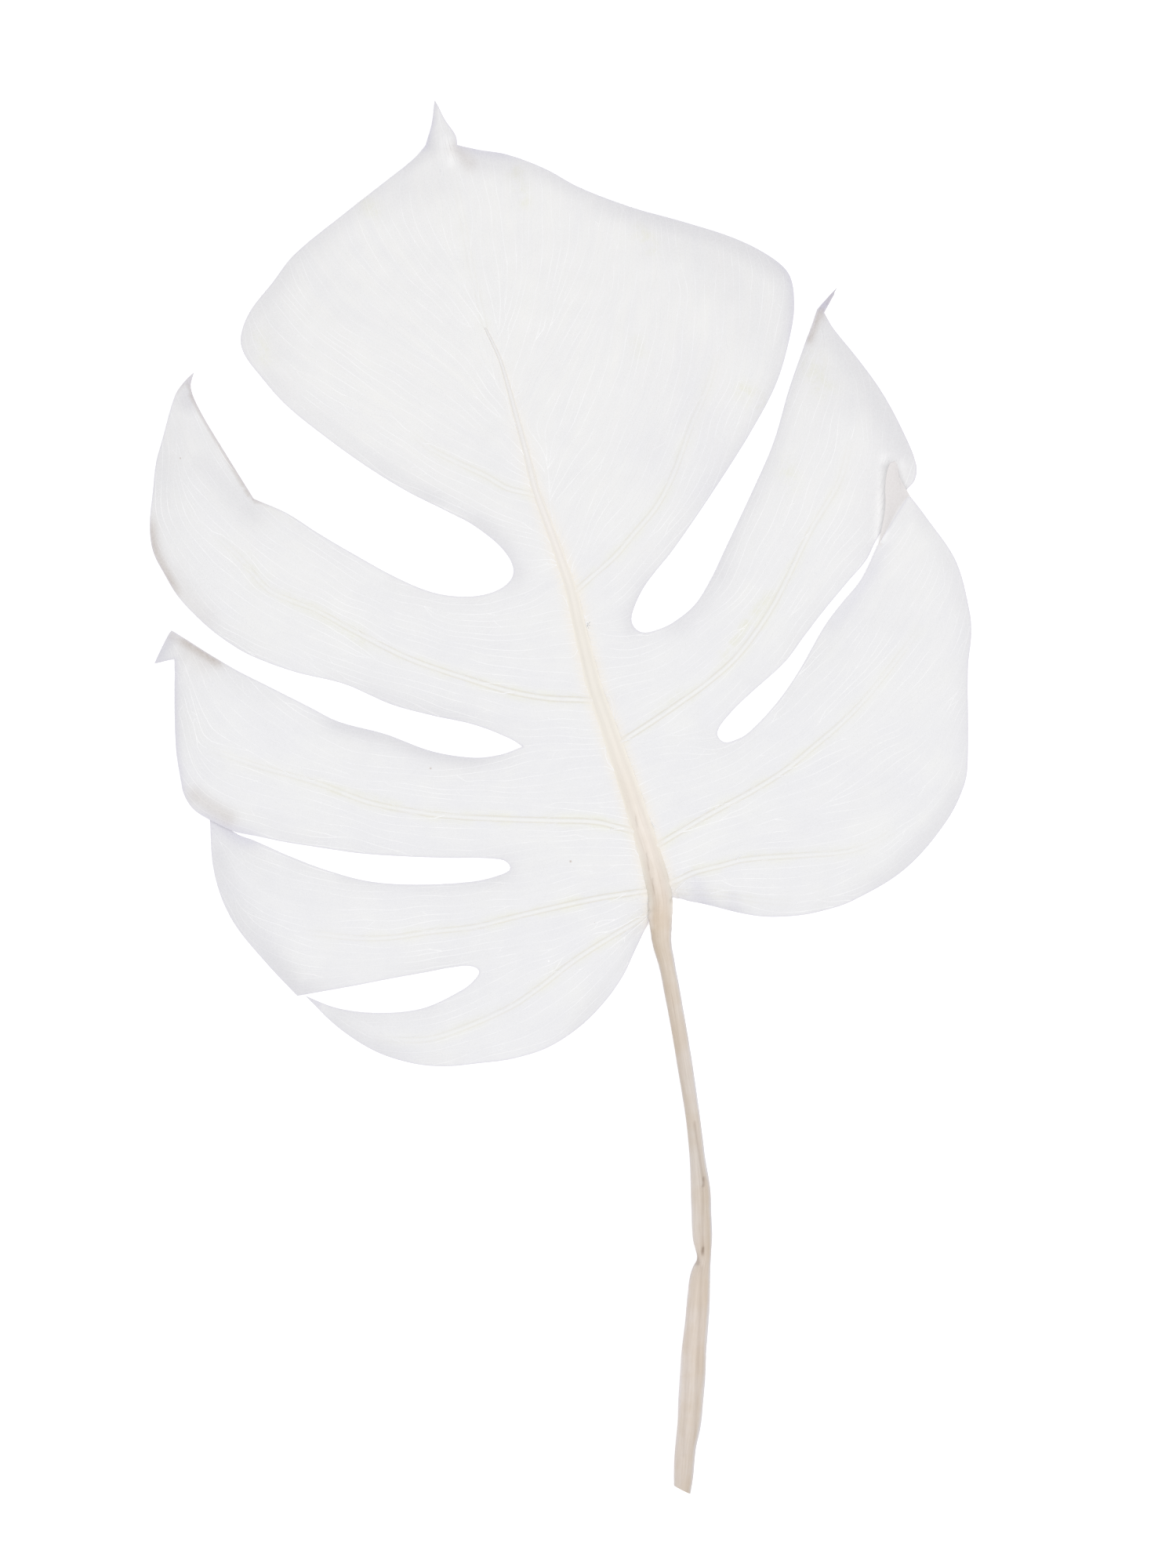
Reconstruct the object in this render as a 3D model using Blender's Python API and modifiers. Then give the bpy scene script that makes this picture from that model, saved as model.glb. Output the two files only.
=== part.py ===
"""A bleached, dried monstera leaf that lies on a surface with its veined face up.

The blade is one thin sheet with waved margins and raised lateral veins. The stalk runs on as the midrib
that lies along it. Metres, +Z up, +Y from the cut end of the stalk to the tip of the blade.
"""

import math

import bmesh
import bpy
from mathutils import Vector, geometry, kdtree

# Driving dimensions in metres
MM = 0.001
BLADE_THICKNESS = 0.7 * MM
CLEARANCE = 0.3 * MM

# Fineness of the meshes in millimetres
MARGIN_STEP = 4.2
VEIN_STEP = 6.0
GRID_STEP = 7.2
ROW_STEP = GRID_STEP * math.sin(math.radians(60))
MEASURE_STEP = 0.5
GRID_TO_MARGIN = 3.0
GRID_TO_LINE = 3.0
FLAP_ROWS = 3
STALK_SIDES = 12
SAME_PLACE = 0.05
INSIDE_THE_RIM = 1
DELAUNAY_MERGE = 1e-4

# Margins of the blade in millimetres, once round. Each stretch is a smooth curve between two corners
LOWER_LEFT_LOBE = [
    (28.5, -39), (24, -48.5), (20, -57), (14, -65.5), (6, -73.5), (-4, -80), (-15, -83.5), (-26, -85),
    (-37, -86), (-47.5, -85), (-59.5, -81), (-71, -73.5), (-81.5, -63.5),
]
LOWEST_LEFT_SLIT = [
    (-81.5, -63.5), (-71, -67.5), (-58, -69), (-44, -67.5), (-32, -62), (-27.5, -58.5), (-26, -55.5),
    (-29, -54), (-35, -54.5), (-43, -56), (-54, -58), (-67, -60.5), (-84, -63.5),
]
FOURTH_LEFT_LOBE = [(-84, -63.5), (-93, -54), (-103, -42), (-108, -32.5), (-111, -21.5), (-112, -9)]
THIRD_LEFT_SLIT = [
    (-112, -9), (-104, -12.5), (-98, -14), (-86.5, -19), (-74.5, -23.5), (-61, -27), (-46, -28),
    (-27.5, -27), (-18, -24.5), (-16, -22.5), (-19, -20), (-37, -19.5), (-50.5, -19), (-64.5, -18),
    (-78, -16), (-87.5, -14.5), (-97, -12.5), (-104, -11), (-111.5, -7.5), (-117, -4), (-120, 0.5),
    (-121, 4.5), (-122.5, 13.5), (-123, 25.5), (-123, 44),
]
HOOK_LOWER_SIDE = [(-123, 44), (-129.5, 42.5)]
HOOK_UPPER_SIDE = [(-129.5, 42.5), (-127, 47.5), (-124, 53)]
SECOND_LEFT_SLIT = [
    (-124, 53), (-117, 48.5), (-111.5, 45), (-103, 40), (-93, 35), (-80, 28.5), (-71, 24), (-56, 20),
    (-41, 14.5), (-27.5, 12.5), (-19, 13.5), (-12, 16),
]
SECOND_LEFT_LOBE = [
    (-12, 16), (-16, 18.5), (-27.5, 23), (-41, 26), (-54, 29.5), (-69, 36), (-85, 40), (-99.5, 45.5),
    (-109, 51.5), (-116, 57.5), (-122, 64), (-126, 70.5), (-130, 78.5), (-131, 87), (-130, 97.5),
    (-129, 106.5), (-127, 114), (-123, 128), (-120, 132.5), (-117, 135.5),
]
SECOND_LEFT_LOBE_INSIDE = [(-117, 135.5), (-118, 130.5), (-115, 123), (-107, 109.5), (-98, 95)]
TOP_LOBE_LEFT = [
    (-98, 95), (-87.5, 90.5), (-78, 84.5), (-67, 78), (-52.5, 70), (-40, 65), (-28, 64), (-19, 66.5),
    (-15, 71.5), (-18, 78.5), (-27.5, 86.5), (-36, 91), (-49, 97.5), (-62, 105.5), (-74.5, 114.5),
    (-87.5, 125), (-95.5, 134), (-101, 141.5), (-102, 147), (-99, 155), (-92, 164), (-85, 173),
    (-68.5, 186.5), (-57, 195.5), (-47, 203.5), (-43, 208),
]
CUSP_LEFT = [(-43, 208), (-41, 214.5), (-40, 222)]
CUSP_RIGHT = [(-40, 222), (-37, 216), (-33.5, 211), (-33, 208)]
TOP_LOBE_RIGHT = [
    (-33, 208), (-26, 206.5), (-17, 205), (-5, 200.5), (6, 194.5), (23, 188), (39, 183.5), (56, 178),
    (67.5, 172), (73, 166.5), (74.5, 158), (73.5, 148.5), (69, 132.5), (61, 117), (50, 99.5), (36, 79),
    (27, 67.5), (23, 59), (23, 55), (26, 52.5), (31.5, 53.5), (36.5, 56), (43, 61.5), (48, 69.5),
    (52.5, 79), (61, 97), (68, 113), (73, 130), (77.5, 143), (82, 155.5),
]
UPPER_RIGHT_TIP = [(82, 155.5), (88, 162)]
UPPER_RIGHT_TIP_BACK = [(88, 162), (84, 154.5)]
UPPER_RIGHT_LOBE = [
    (84, 154.5), (87, 149.5), (95, 139.5), (102.5, 129), (109.5, 116), (113.5, 106), (113, 101),
    (110, 97.5), (105, 89), (100.5, 81.5), (97.5, 75.5), (91.5, 68.5), (84, 59.5), (77.5, 51), (71.5, 43),
    (60, 32.5), (54, 26.5), (50, 20.5), (52, 17.5), (55.5, 18), (60, 20.5), (69, 30), (76, 40), (84, 54),
    (89.5, 61.5), (96, 69.5), (101.5, 81),
]
FLAP_HINGE = [(101.5, 81), (111, 96.5)]
LOWER_RIGHT_LOBE = [
    (111, 96.5), (116, 90), (126, 75.5), (130.5, 59), (131, 51.5), (130, 41.5), (130, 14.5), (129, 4.5),
    (123, -8), (110, -23), (93.5, -33), (83, -36.5), (74, -38), (63, -38), (47, -34.5), (36, -32),
]
UNDER_STALK = [(36, -32), (32, -36), (28.5, -39)]
MARGINS = [
    LOWER_LEFT_LOBE, LOWEST_LEFT_SLIT, FOURTH_LEFT_LOBE, THIRD_LEFT_SLIT, HOOK_LOWER_SIDE, HOOK_UPPER_SIDE,
    SECOND_LEFT_SLIT, SECOND_LEFT_LOBE, SECOND_LEFT_LOBE_INSIDE, TOP_LOBE_LEFT, CUSP_LEFT, CUSP_RIGHT,
    TOP_LOBE_RIGHT, UPPER_RIGHT_TIP, UPPER_RIGHT_TIP_BACK, UPPER_RIGHT_LOBE, FLAP_HINGE, LOWER_RIGHT_LOBE,
    UNDER_STALK,
]
# Free side of the flap that stands over the upper right lobe, from the lower to the upper end of its hinge
FLAP_FREE_SIDE = [(101.5, 81), (103.5, 92), (103.5, 101.5), (106, 107), (107.5, 102), (111, 96.5)]
FLAP_SLOPE = 0.45

# Lateral veins in millimetres, from the midrib outwards: centre line, and height of the ridge at its root
VEINS = [
    ([(-11, 97), (-17, 98.5), (-24, 102.5), (-33.5, 107), (-42, 111.5), (-48, 116.5)], 0.5),
    (
        [(6.5, 31), (-4, 31.5), (-15.5, 33.5), (-27.5, 37), (-48, 44), (-67, 53.5), (-78, 59.5), (-93, 66),
         (-102, 76), (-111, 84.5)],
        0.8,
    ),
    (
        [(19.5, -10), (11, -8), (-4, -7.5), (-20, -7), (-37, -6), (-50.5, -4), (-62, -1.5), (-78, 4.5),
         (-97, 10), (-112.5, 15.5)],
        0.8,
    ),
    (
        [(24, -30.5), (11, -32.5), (-13.5, -38), (-27.5, -41.5), (-41, -43), (-55, -45), (-66, -45),
         (-83, -43)],
        0.8,
    ),
    (
        [(21.5, -41.5), (14, -46), (4, -52.5), (-7, -61), (-16, -67), (-33, -74.5), (-44, -77.5),
         (-60, -77)],
        0.7,
    ),
    (
        [(8, 68.5), (17.5, 77), (23, 83.5), (30.5, 92.5), (36, 103), (41.5, 118), (47, 131), (50, 142)],
        0.6,
    ),
    (
        [(21.5, 19), (28.5, 23.5), (38, 30), (47, 36.5), (56, 44.5), (64, 55), (70, 65), (79.5, 84.5),
         (89, 101), (92.5, 114)],
        0.8,
    ),
    (
        [(32.5, -14.5), (45, -7), (64, 3.5), (73, 9.5), (82, 17), (89, 23), (96, 30), (103.5, 39),
         (115.5, 55)],
        0.8,
    ),
    (
        [(37.5, -26.5), (43, -24), (51, -22), (59, -20), (79, -18.5), (91, -17.5), (99, -15),
         (107, -10.5)],
        0.7,
    ),
    ([(43, -30.5), (51, -31), (63, -33), (75, -34)], 0.3),
    ([(-24.5, 151.5), (-29, 171.5), (-32, 188.5), (-35.5, 203)], 0.4),
]
VEIN_HALF_WIDTH = 1.3
VEIN_ROOT_SHARE = 0.08
VEIN_TAPER = 0.6

# Rise and fall of the blade in millimetres. Margins come down over MARGIN_ROLL, with a ripple along them
INNER_HEIGHT = 1.2
MARGIN_ROLL = 12.0
RIPPLE_HEIGHT = 0.5
RIPPLE_REACH = 9.0
RIPPLES_ROUND = 17
LEAF_BASE = (32.0, -36.0)
# Places where the drying has lifted the blade: middle, reach and rise
SWELLS = [
    ((-114, 92), 30, 6.5),
    ((-108, 32), 26, 5.5),
    ((-95, -38), 24, 3.0),
    ((-60, -74), 20, 1.5),
    ((-72, 150), 28, 3.0),
    ((52, 160), 30, 3.5),
    ((98, 122), 28, 4.5),
    ((112, 50), 30, 2.5),
]
# Spots on which the blade rests: middle, with a flat triangle of this half-width
FEET = [(80, 6), (-40, 120), (-52, -33), (18, 122)]
FOOT_SINK = 1.6
FOOT_REACH = 20.0
FOOT_HALF_WIDTH = 5.0
# Creases that stand up like a roof ridge, on the hooked tip, the cusp and the upper right tip:
# two ends, height at each end, and how far the sides run down
CREASES = [
    ((-124, 53), (-123, 44), 5.0, 5.0, 7.5),
    ((-38, 200), (-39.5, 222), 1.2, 3.6, 5.5),
    ((83, 154), (88, 162), 3.0, 8.0, 9.0),
]
# Margins that stand over the lobe to the left of them: course between the two, height and reach
OVERLAPS = [
    ([(101.5, 81), (111, 96.5)], 2.8, 14.0),
    ([(-93, -14.2), (-97.5, -13.2), (-104, -11.7), (-112, -8.1), (-119, -3.5)], 2.8, 10.0),
]
LOWER_UNDER_OVERLAP = 0.8
ON_THE_COURSE = 0.05
SHARE_DIGITS = 4
# Corner of the fourth left lobe, which slides under the lobe above it
SLID_CORNER = (-112.0, -9.0)
SLIDE = 3.2
SLIDE_REACH = 8.0

# Stalk and midrib in millimetres, from the tip of the midrib to the cut end: place, width and height
STALK = [
    ((-24, 149.5), 0.9, 0.6),
    ((-19.5, 140), 1.3, 0.6),
    ((-17, 132), 1.6, 0.65),
    ((-14, 121), 2.0, 0.7),
    ((-11, 110), 2.3, 0.75),
    ((-8, 98), 2.6, 0.8),
    ((-4, 87), 3.0, 0.85),
    ((0, 76), 3.4, 0.9),
    ((3.3, 66), 3.8, 0.95),
    ((5.8, 55), 4.2, 1.0),
    ((8.3, 44.5), 4.5, 1.1),
    ((11.2, 33.5), 4.9, 1.2),
    ((14.7, 23.5), 5.3, 1.3),
    ((18.3, 13), 5.7, 1.45),
    ((21.8, 3), 6.2, 1.65),
    ((25.6, -9), 6.7, 2.0),
    ((28.6, -18.5), 7.1, 2.5),
    ((30.6, -26), 7.5, 3.1),
    ((32, -33.5), 7.6, 3.8),
    ((32, -40), 7.0, 4.3),
    ((32.3, -46.5), 6.0, 4.6),
    ((33.8, -53), 5.1, 4.6),
    ((36.2, -65.5), 4.9, 4.5),
    ((38.5, -78.5), 4.8, 4.5),
    ((40.5, -91), 4.8, 4.4),
    ((42.4, -104), 4.5, 4.2),
    ((43.8, -116.5), 5.1, 4.5),
    ((44.6, -124.5), 6.1, 4.9),
    ((44.9, -132.5), 6.2, 5.0),
    ((45.2, -140.5), 6.0, 4.7),
    ((45.6, -147.5), 4.6, 3.9),
    ((44.7, -152), 6.1, 4.9),
    ((44, -160), 7.0, 5.4),
    ((43.4, -168), 7.4, 5.6),
    ((42.6, -176), 7.8, 5.8),
    ((42.2, -184), 8.0, 5.9),
    ((41.6, -192), 7.8, 5.9),
    ((41, -200), 7.4, 5.7),
    ((39.8, -208), 6.5, 5.4),
    ((39.2, -216), 6.2, 5.2),
    ((38.8, -221), 5.4, 4.4),
]
STALK_LEAVES_BLADE = -42.0
STALK_LIES_DOWN = -78.0
# The stalk's underside is flat below this share of its half-height, and its cut end slants by this much
FLAT_BELOW = -0.8
CUT_SLANT = 1.1
MIDRIB_BED_MARGIN = 0.4

BLADE_COLOUR = (0.86, 0.85, 0.85, 1)
BLADE_ROUGHNESS = 0.7
STALK_COLOUR = (0.6, 0.5, 0.39, 1)
STALK_ROUGHNESS = 0.6
SHARP_ANGLE = math.radians(50)
SHARES_ACROSS = (-0.5, -0.25, 0.0, 0.25, 0.5)


def material(name, colour, roughness):
    made = bpy.data.materials.new(name)
    made.use_nodes = True
    shader = made.node_tree.nodes["Principled BSDF"]
    shader.inputs["Base Color"].default_value = colour
    shader.inputs["Roughness"].default_value = roughness
    shader.inputs["Metallic"].default_value = 0
    return made


def smooth_line(points, step):
    """Points about one step apart on the smooth curve through the given ones."""
    knots = [Vector((x, y)) for x, y in points]
    turns = [knots[min(i + 1, len(knots) - 1)] - knots[max(i - 1, 0)] for i in range(len(knots))]
    line = [knots[0]]
    for i in range(len(knots) - 1):
        start = knots[i]
        end = knots[i + 1]
        reach = (end - start).length / 3
        pieces = max(1, round((end - start).length / step))
        bend = geometry.interpolate_bezier(
            start, start + turns[i].normalized() * reach,
            end - turns[i + 1].normalized() * reach, end, pieces + 1,
        )
        line += [Vector(point) for point in bend[1:]]
    return line


def margin_loop(step):
    loop = []
    for stretch in MARGINS:
        loop += smooth_line(stretch, step)[:-1]
    return loop


def tree_of(points):
    tree = kdtree.KDTree(len(points))
    for i, point in enumerate(points):
        tree.insert((point.x, point.y, 0), i)
    tree.balance()
    return tree


MARGIN_TREE = tree_of(margin_loop(MEASURE_STEP))


def vein_samples():
    """Fine points along every vein, and the ridge's height at each."""
    places = []
    heights = []
    for line, height in VEINS:
        points = smooth_line(line, MEASURE_STEP)
        for i, point in enumerate(points):
            along = i / (len(points) - 1)
            root = min(1.0, along / VEIN_ROOT_SHARE)
            places.append(point)
            heights.append(height * root * (1 - along) ** VEIN_TAPER)
    return places, heights


VEIN_PLACES, VEIN_HEIGHTS = vein_samples()
VEIN_TREE = tree_of(VEIN_PLACES)


def bell(distance, reach):
    return math.exp(-((distance / reach) ** 2))


def along_line(spot, start, end):
    """Share of the way from start to end, the distance, and a number that is over 0 on the left."""
    run = end - start
    share = min(1.0, max(0.0, (spot - start).dot(run) / run.length_squared))
    offset = spot - (start + run * share)
    return share, offset.length, run.cross(spot - start)


def beside_course(spot, course):
    """Distance from a bent course, and how far to the left of it."""
    nearest = None
    for start, end in zip(course, course[1:]):
        run = Vector(end) - Vector(start)
        _, distance, left = along_line(spot, Vector(start), Vector(end))
        if nearest is None or distance < nearest[0]:
            nearest = distance, left / run.length
    return nearest


def ridge(x, y):
    """Height of the vein's ridge here."""
    _, index, distance = VEIN_TREE.find((x, y, 0))
    return VEIN_HEIGHTS[index] * max(0.0, 1 - distance / VEIN_HALF_WIDTH)


def rest_height(x, y):
    """Height of the blade's lower face, without its veins."""
    spot = Vector((x, y))
    edge = MARGIN_TREE.find((x, y, 0))[2]
    swell = INNER_HEIGHT
    for middle, reach, rise in SWELLS:
        swell += rise * bell((spot - Vector(middle)).length, reach)
    height = swell * (1 - math.exp(-edge / MARGIN_ROLL))
    angle = math.atan2(y - LEAF_BASE[1], x - LEAF_BASE[0])
    height += RIPPLE_HEIGHT * (1 + math.sin(RIPPLES_ROUND * angle)) * math.exp(-edge / RIPPLE_REACH)
    for start, end, first, last, run_down in CREASES:
        share, distance, _ = along_line(spot, Vector(start), Vector(end))
        top = first + (last - first) * share
        height = max(height, top * (1 - distance / run_down))
    for course, rise, reach in OVERLAPS:
        distance, left = beside_course(spot, course)
        if left <= ON_THE_COURSE:
            height = max(height, rise * bell(distance, reach))
        else:
            height *= 1 - LOWER_UNDER_OVERLAP * bell(distance, reach)
    for foot in FEET:
        height -= FOOT_SINK * bell((spot - Vector(foot)).length, FOOT_REACH)
    return max(0.0, height)


def slid(x, y):
    """How far a point of the fourth left lobe slides up, under the lobe above it."""
    _, left = beside_course(Vector((x, y)), OVERLAPS[1][0])
    if left <= ON_THE_COURSE:
        return 0.0
    return SLIDE * bell((Vector((x, y)) - Vector(SLID_CORNER)).length, SLIDE_REACH)


def side_lines(line, half_width):
    """The two lines beside a line, as far off as half its width."""
    left = []
    right = []
    for i, point in enumerate(line):
        run = (line[min(i + 1, len(line) - 1)] - line[max(i - 1, 0)]).normalized()
        across = Vector((-run.y, run.x))
        left.append(point + across * half_width)
        right.append(point - across * half_width)
    return left, right


def foot_triangle(foot):
    """Corners of the flat triangle round the middle of a foot."""
    turns = [math.radians(90 + 120 * i) for i in range(3)]
    reach = FOOT_HALF_WIDTH
    return [Vector((foot[0] + reach * math.cos(turn), foot[1] + reach * math.sin(turn))) for turn in turns]


def inner_lines():
    """Lines that the triangles follow: the veins and their sides, the midrib's bed, creases and feet."""
    lines = []
    for line, _ in VEINS:
        middle = smooth_line(line, VEIN_STEP)
        lines += [middle, *side_lines(middle, VEIN_HALF_WIDTH)]
    on_blade = [row for row in STALK if row[0][1] > LEAF_BASE[1] + GRID_TO_MARGIN]
    middle = [Vector(place) for place, _, _ in on_blade]
    lines.append(middle)
    for side in (0, 1):
        beside = []
        for i, (_, width, _) in enumerate(on_blade):
            beside.append(side_lines(middle, width / 2 + MIDRIB_BED_MARGIN)[side][i])
        lines.append(beside)
    for start, end, *_ in CREASES:
        lines.append(smooth_line([start, end], GRID_TO_LINE)[1:-1])
    for foot in FEET:
        corners = foot_triangle(foot)
        lines.append([*corners, corners[0]])
    return lines


def flat_blade():
    """Points and triangles of the flat blade, in millimetres."""
    points = margin_loop(MARGIN_STEP)
    rim = list(range(len(points)))
    left, low = (min(point[axis] for point in points) for axis in (0, 1))
    right, high = (max(point[axis] for point in points) for axis in (0, 1))
    edges = []
    for line in inner_lines():
        first = len(points)
        points += line
        edges += [(i, i + 1) for i in range(first, len(points) - 1)]
    line_tree = tree_of(points[len(rim):])
    for row in range(int((high - low) / ROW_STEP)):
        y = low + row * ROW_STEP
        for column in range(int((right - left) / GRID_STEP)):
            x = left + (column + 0.5 * (row % 2)) * GRID_STEP
            if MARGIN_TREE.find((x, y, 0))[2] < GRID_TO_MARGIN:
                continue
            if line_tree.find((x, y, 0))[2] < GRID_TO_LINE:
                continue
            if min((Vector((x, y)) - Vector(foot)).length for foot in FEET) < FOOT_HALF_WIDTH:
                continue
            points.append(Vector((x, y)))
    made = geometry.delaunay_2d_cdt(points, edges, [rim], INSIDE_THE_RIM, DELAUNAY_MERGE)
    return made[0], made[2]


def flap_edges(sheet):
    """The margin's edges along the hinge of the flap."""
    start, end = (Vector(point) * MM for point in FLAP_HINGE)
    found = []
    for edge in sheet.edges:
        if not edge.is_boundary:
            continue
        middle = (edge.verts[0].co.xy + edge.verts[1].co.xy) / 2
        share, distance, _ = along_line(middle, start, end)
        if distance < SAME_PLACE * MM and 0 < share < 1:
            found.append(edge)
    return found


def raise_flap(sheet):
    """Extrudes the flap from its hinge, row by row, up over the lobe beside it."""
    free_side = smooth_line(FLAP_FREE_SIDE, MEASURE_STEP)
    start, end = (Vector(point) * MM for point in FLAP_HINGE)
    edges = flap_edges(sheet)
    rooted = {}
    for edge in edges:
        for vert in edge.verts:
            share, _, _ = along_line(vert.co.xy, start, end)
            rooted[round(share, SHARE_DIGITS)] = vert.co.copy()
    shares = {vert: along_line(vert.co.xy, start, end)[0] for edge in edges for vert in edge.verts}
    for row in range(1, FLAP_ROWS + 1):
        made = bmesh.ops.extrude_edge_only(sheet, edges=edges)["geom"]
        new_verts = [item for item in made if isinstance(item, bmesh.types.BMVert)]
        new_edges = [item for item in made if isinstance(item, bmesh.types.BMEdge)]
        new_shares = {}
        for vert in new_verts:
            nearest = min(shares, key=lambda old: (old.co - vert.co).length)
            share = shares[nearest]
            new_shares[vert] = share
            root = rooted[round(share, SHARE_DIGITS)]
            free = free_side[round(share * (len(free_side) - 1))] * MM
            reach = (free - root.xy) * row / FLAP_ROWS
            vert.co = Vector((root.x + reach.x, root.y + reach.y, root.z + FLAP_SLOPE * reach.length))
        shares = new_shares
        edges = [edge for edge in new_edges if edge.verts[0] in shares and edge.verts[1] in shares]


def leaf_blade():
    """The white blade: a flat sheet cut to the margins, waved, and given its thickness upwards."""
    points, triangles = flat_blade()
    used = sorted({i for triangle in triangles for i in triangle})
    place = {old: new for new, old in enumerate(used)}
    verts = []
    for i in used:
        x, y = points[i]
        z = rest_height(x, y) + ridge(x, y)
        verts.append((x * MM, (y + slid(x, y)) * MM, z * MM))
    mesh = bpy.data.meshes.new("leaf_blade")
    mesh.from_pydata(verts, [], [[place[i] for i in triangle] for triangle in triangles])
    sheet = bmesh.new()
    sheet.from_mesh(mesh)
    bmesh.ops.recalc_face_normals(sheet, faces=sheet.faces)
    if sum(face.normal.z for face in sheet.faces) < 0:
        bmesh.ops.reverse_faces(sheet, faces=sheet.faces)
    raise_flap(sheet)
    bmesh.ops.remove_doubles(sheet, verts=sheet.verts, dist=SAME_PLACE * MM)
    bmesh.ops.triangulate(sheet, faces=sheet.faces)
    sheet.to_mesh(mesh)
    sheet.free()
    mesh.shade_smooth()
    blade = bpy.data.objects.new("leaf_blade", mesh)
    blade.data.materials.append(material("bleached_blade", BLADE_COLOUR, BLADE_ROUGHNESS))
    thickness = blade.modifiers.new("thickness", "SOLIDIFY")
    thickness.thickness = BLADE_THICKNESS
    thickness.offset = 1
    return blade


def stalk_floor(place, width):
    """Height of the stalk's underside: just over the blade, then down to the surface below."""
    x, y = place
    on_blade = 0.0
    for side in SHARES_ACROSS:
        on_blade = max(on_blade, rest_height(x + side * width, max(y, LEAF_BASE[1])))
    on_blade += (BLADE_THICKNESS + CLEARANCE) / MM
    lying = (STALK_LEAVES_BLADE - y) / (STALK_LEAVES_BLADE - STALK_LIES_DOWN)
    lying = min(1.0, max(0.0, lying))
    return on_blade * (1 - lying * lying * (3 - 2 * lying))


def stalk_ring(solid, row, course):
    """One flat-bottomed oval of the stalk, square to its course, as a closed ring of edges."""
    place, width, height = STALK[row]
    floor = stalk_floor(place, width)
    ring = bmesh.ops.create_circle(solid, cap_ends=False, segments=STALK_SIDES, radius=1.0)["verts"]
    across = Vector((course.y, -course.x))
    slant = CUT_SLANT if row == len(STALK) - 1 else 0.0
    for vert in ring:
        side = vert.co.x * width / 2
        up = (max(vert.co.y, FLAT_BELOW) - FLAT_BELOW) / (1 - FLAT_BELOW)
        along = slant * vert.co.x
        vert.co = Vector((
            (place[0] + across.x * side + course.x * along) * MM,
            (place[1] + across.y * side + course.y * along) * MM,
            (floor + height * up) * MM,
        ))
    return ring


def petiole_and_midrib():
    """The tan stalk: a loft from ring to ring, from the tip of the midrib to the slanting cut end."""
    solid = bmesh.new()
    places = [Vector(place) for place, _, _ in STALK]
    last = None
    for row in range(len(STALK)):
        course = (places[min(row + 1, len(places) - 1)] - places[max(row - 1, 0)]).normalized()
        ring = stalk_ring(solid, row, course)
        edges = list({edge for vert in ring for edge in vert.link_edges})
        if last is None:
            bmesh.ops.contextual_create(solid, geom=ring)
        else:
            bmesh.ops.bridge_loops(solid, edges=last + edges)
        last = edges
    bmesh.ops.contextual_create(solid, geom=ring)
    bmesh.ops.recalc_face_normals(solid, faces=solid.faces)
    bmesh.ops.triangulate(solid, faces=solid.faces)
    mesh = bpy.data.meshes.new("petiole_and_midrib")
    solid.to_mesh(mesh)
    solid.free()
    mesh.shade_smooth()
    mesh.set_sharp_from_angle(angle=SHARP_ANGLE)
    stalk = bpy.data.objects.new("petiole_and_midrib", mesh)
    stalk.data.materials.append(material("dried_stalk", STALK_COLOUR, STALK_ROUGHNESS))
    return stalk


def build():
    for old in list(bpy.data.objects):
        bpy.data.objects.remove(old)
    leaf = bpy.data.collections.new("monstera_leaf")
    bpy.context.scene.collection.children.link(leaf)
    leaf.objects.link(leaf_blade())
    leaf.objects.link(petiole_and_midrib())


build()
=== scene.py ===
# %% [markdown]
# # A bleached monstera leaf
#
# The real thing is one dried leaf that has been bleached almost white. Its blade is thinner than a postcard
# and cut into lobes by deep slits, and a tan stalk runs on up the blade as its midrib. Everything below is
# built around a fixed frame: the plain solids of the same leaf, with the same origin and the same size.
# The frame could be smoothed and painted, but its triangles are too coarse for fine veins, so both of its
# nodes are replaced by finer meshes of the same form.

# %% Load the fixed frame
import math
import random

import bmesh
import bpy
import numpy as np
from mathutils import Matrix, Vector, geometry, kdtree, noise


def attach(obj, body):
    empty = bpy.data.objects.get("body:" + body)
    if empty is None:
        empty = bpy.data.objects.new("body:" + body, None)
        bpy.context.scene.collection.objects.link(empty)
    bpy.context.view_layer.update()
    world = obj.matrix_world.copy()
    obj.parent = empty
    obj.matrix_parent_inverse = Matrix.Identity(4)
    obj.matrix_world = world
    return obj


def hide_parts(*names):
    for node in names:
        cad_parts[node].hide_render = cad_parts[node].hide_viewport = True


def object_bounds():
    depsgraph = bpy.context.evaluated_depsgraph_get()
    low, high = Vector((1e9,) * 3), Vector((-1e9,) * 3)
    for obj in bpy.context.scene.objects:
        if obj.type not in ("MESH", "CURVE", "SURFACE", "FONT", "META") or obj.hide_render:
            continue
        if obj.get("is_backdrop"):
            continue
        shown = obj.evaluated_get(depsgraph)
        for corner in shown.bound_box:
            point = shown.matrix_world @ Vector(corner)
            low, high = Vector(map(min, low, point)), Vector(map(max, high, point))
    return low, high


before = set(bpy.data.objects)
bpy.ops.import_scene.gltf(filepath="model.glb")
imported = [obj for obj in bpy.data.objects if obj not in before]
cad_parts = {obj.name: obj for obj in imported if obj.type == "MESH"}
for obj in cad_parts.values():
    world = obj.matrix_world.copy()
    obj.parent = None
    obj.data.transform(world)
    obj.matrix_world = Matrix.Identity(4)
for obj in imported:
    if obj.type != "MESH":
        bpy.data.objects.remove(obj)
cad_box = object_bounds()
MM = 0.001
print("nodes in the frame:", sorted(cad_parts))

# %% [markdown]
# The camera comes first, because every finish is judged through it. The leaf lies flat and is seen from
# straight above. A short lens would spread the raised tips outwards, so the camera stands well back with a
# long lens. The picture's long side covers half a metre at the height of the blade.

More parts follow.
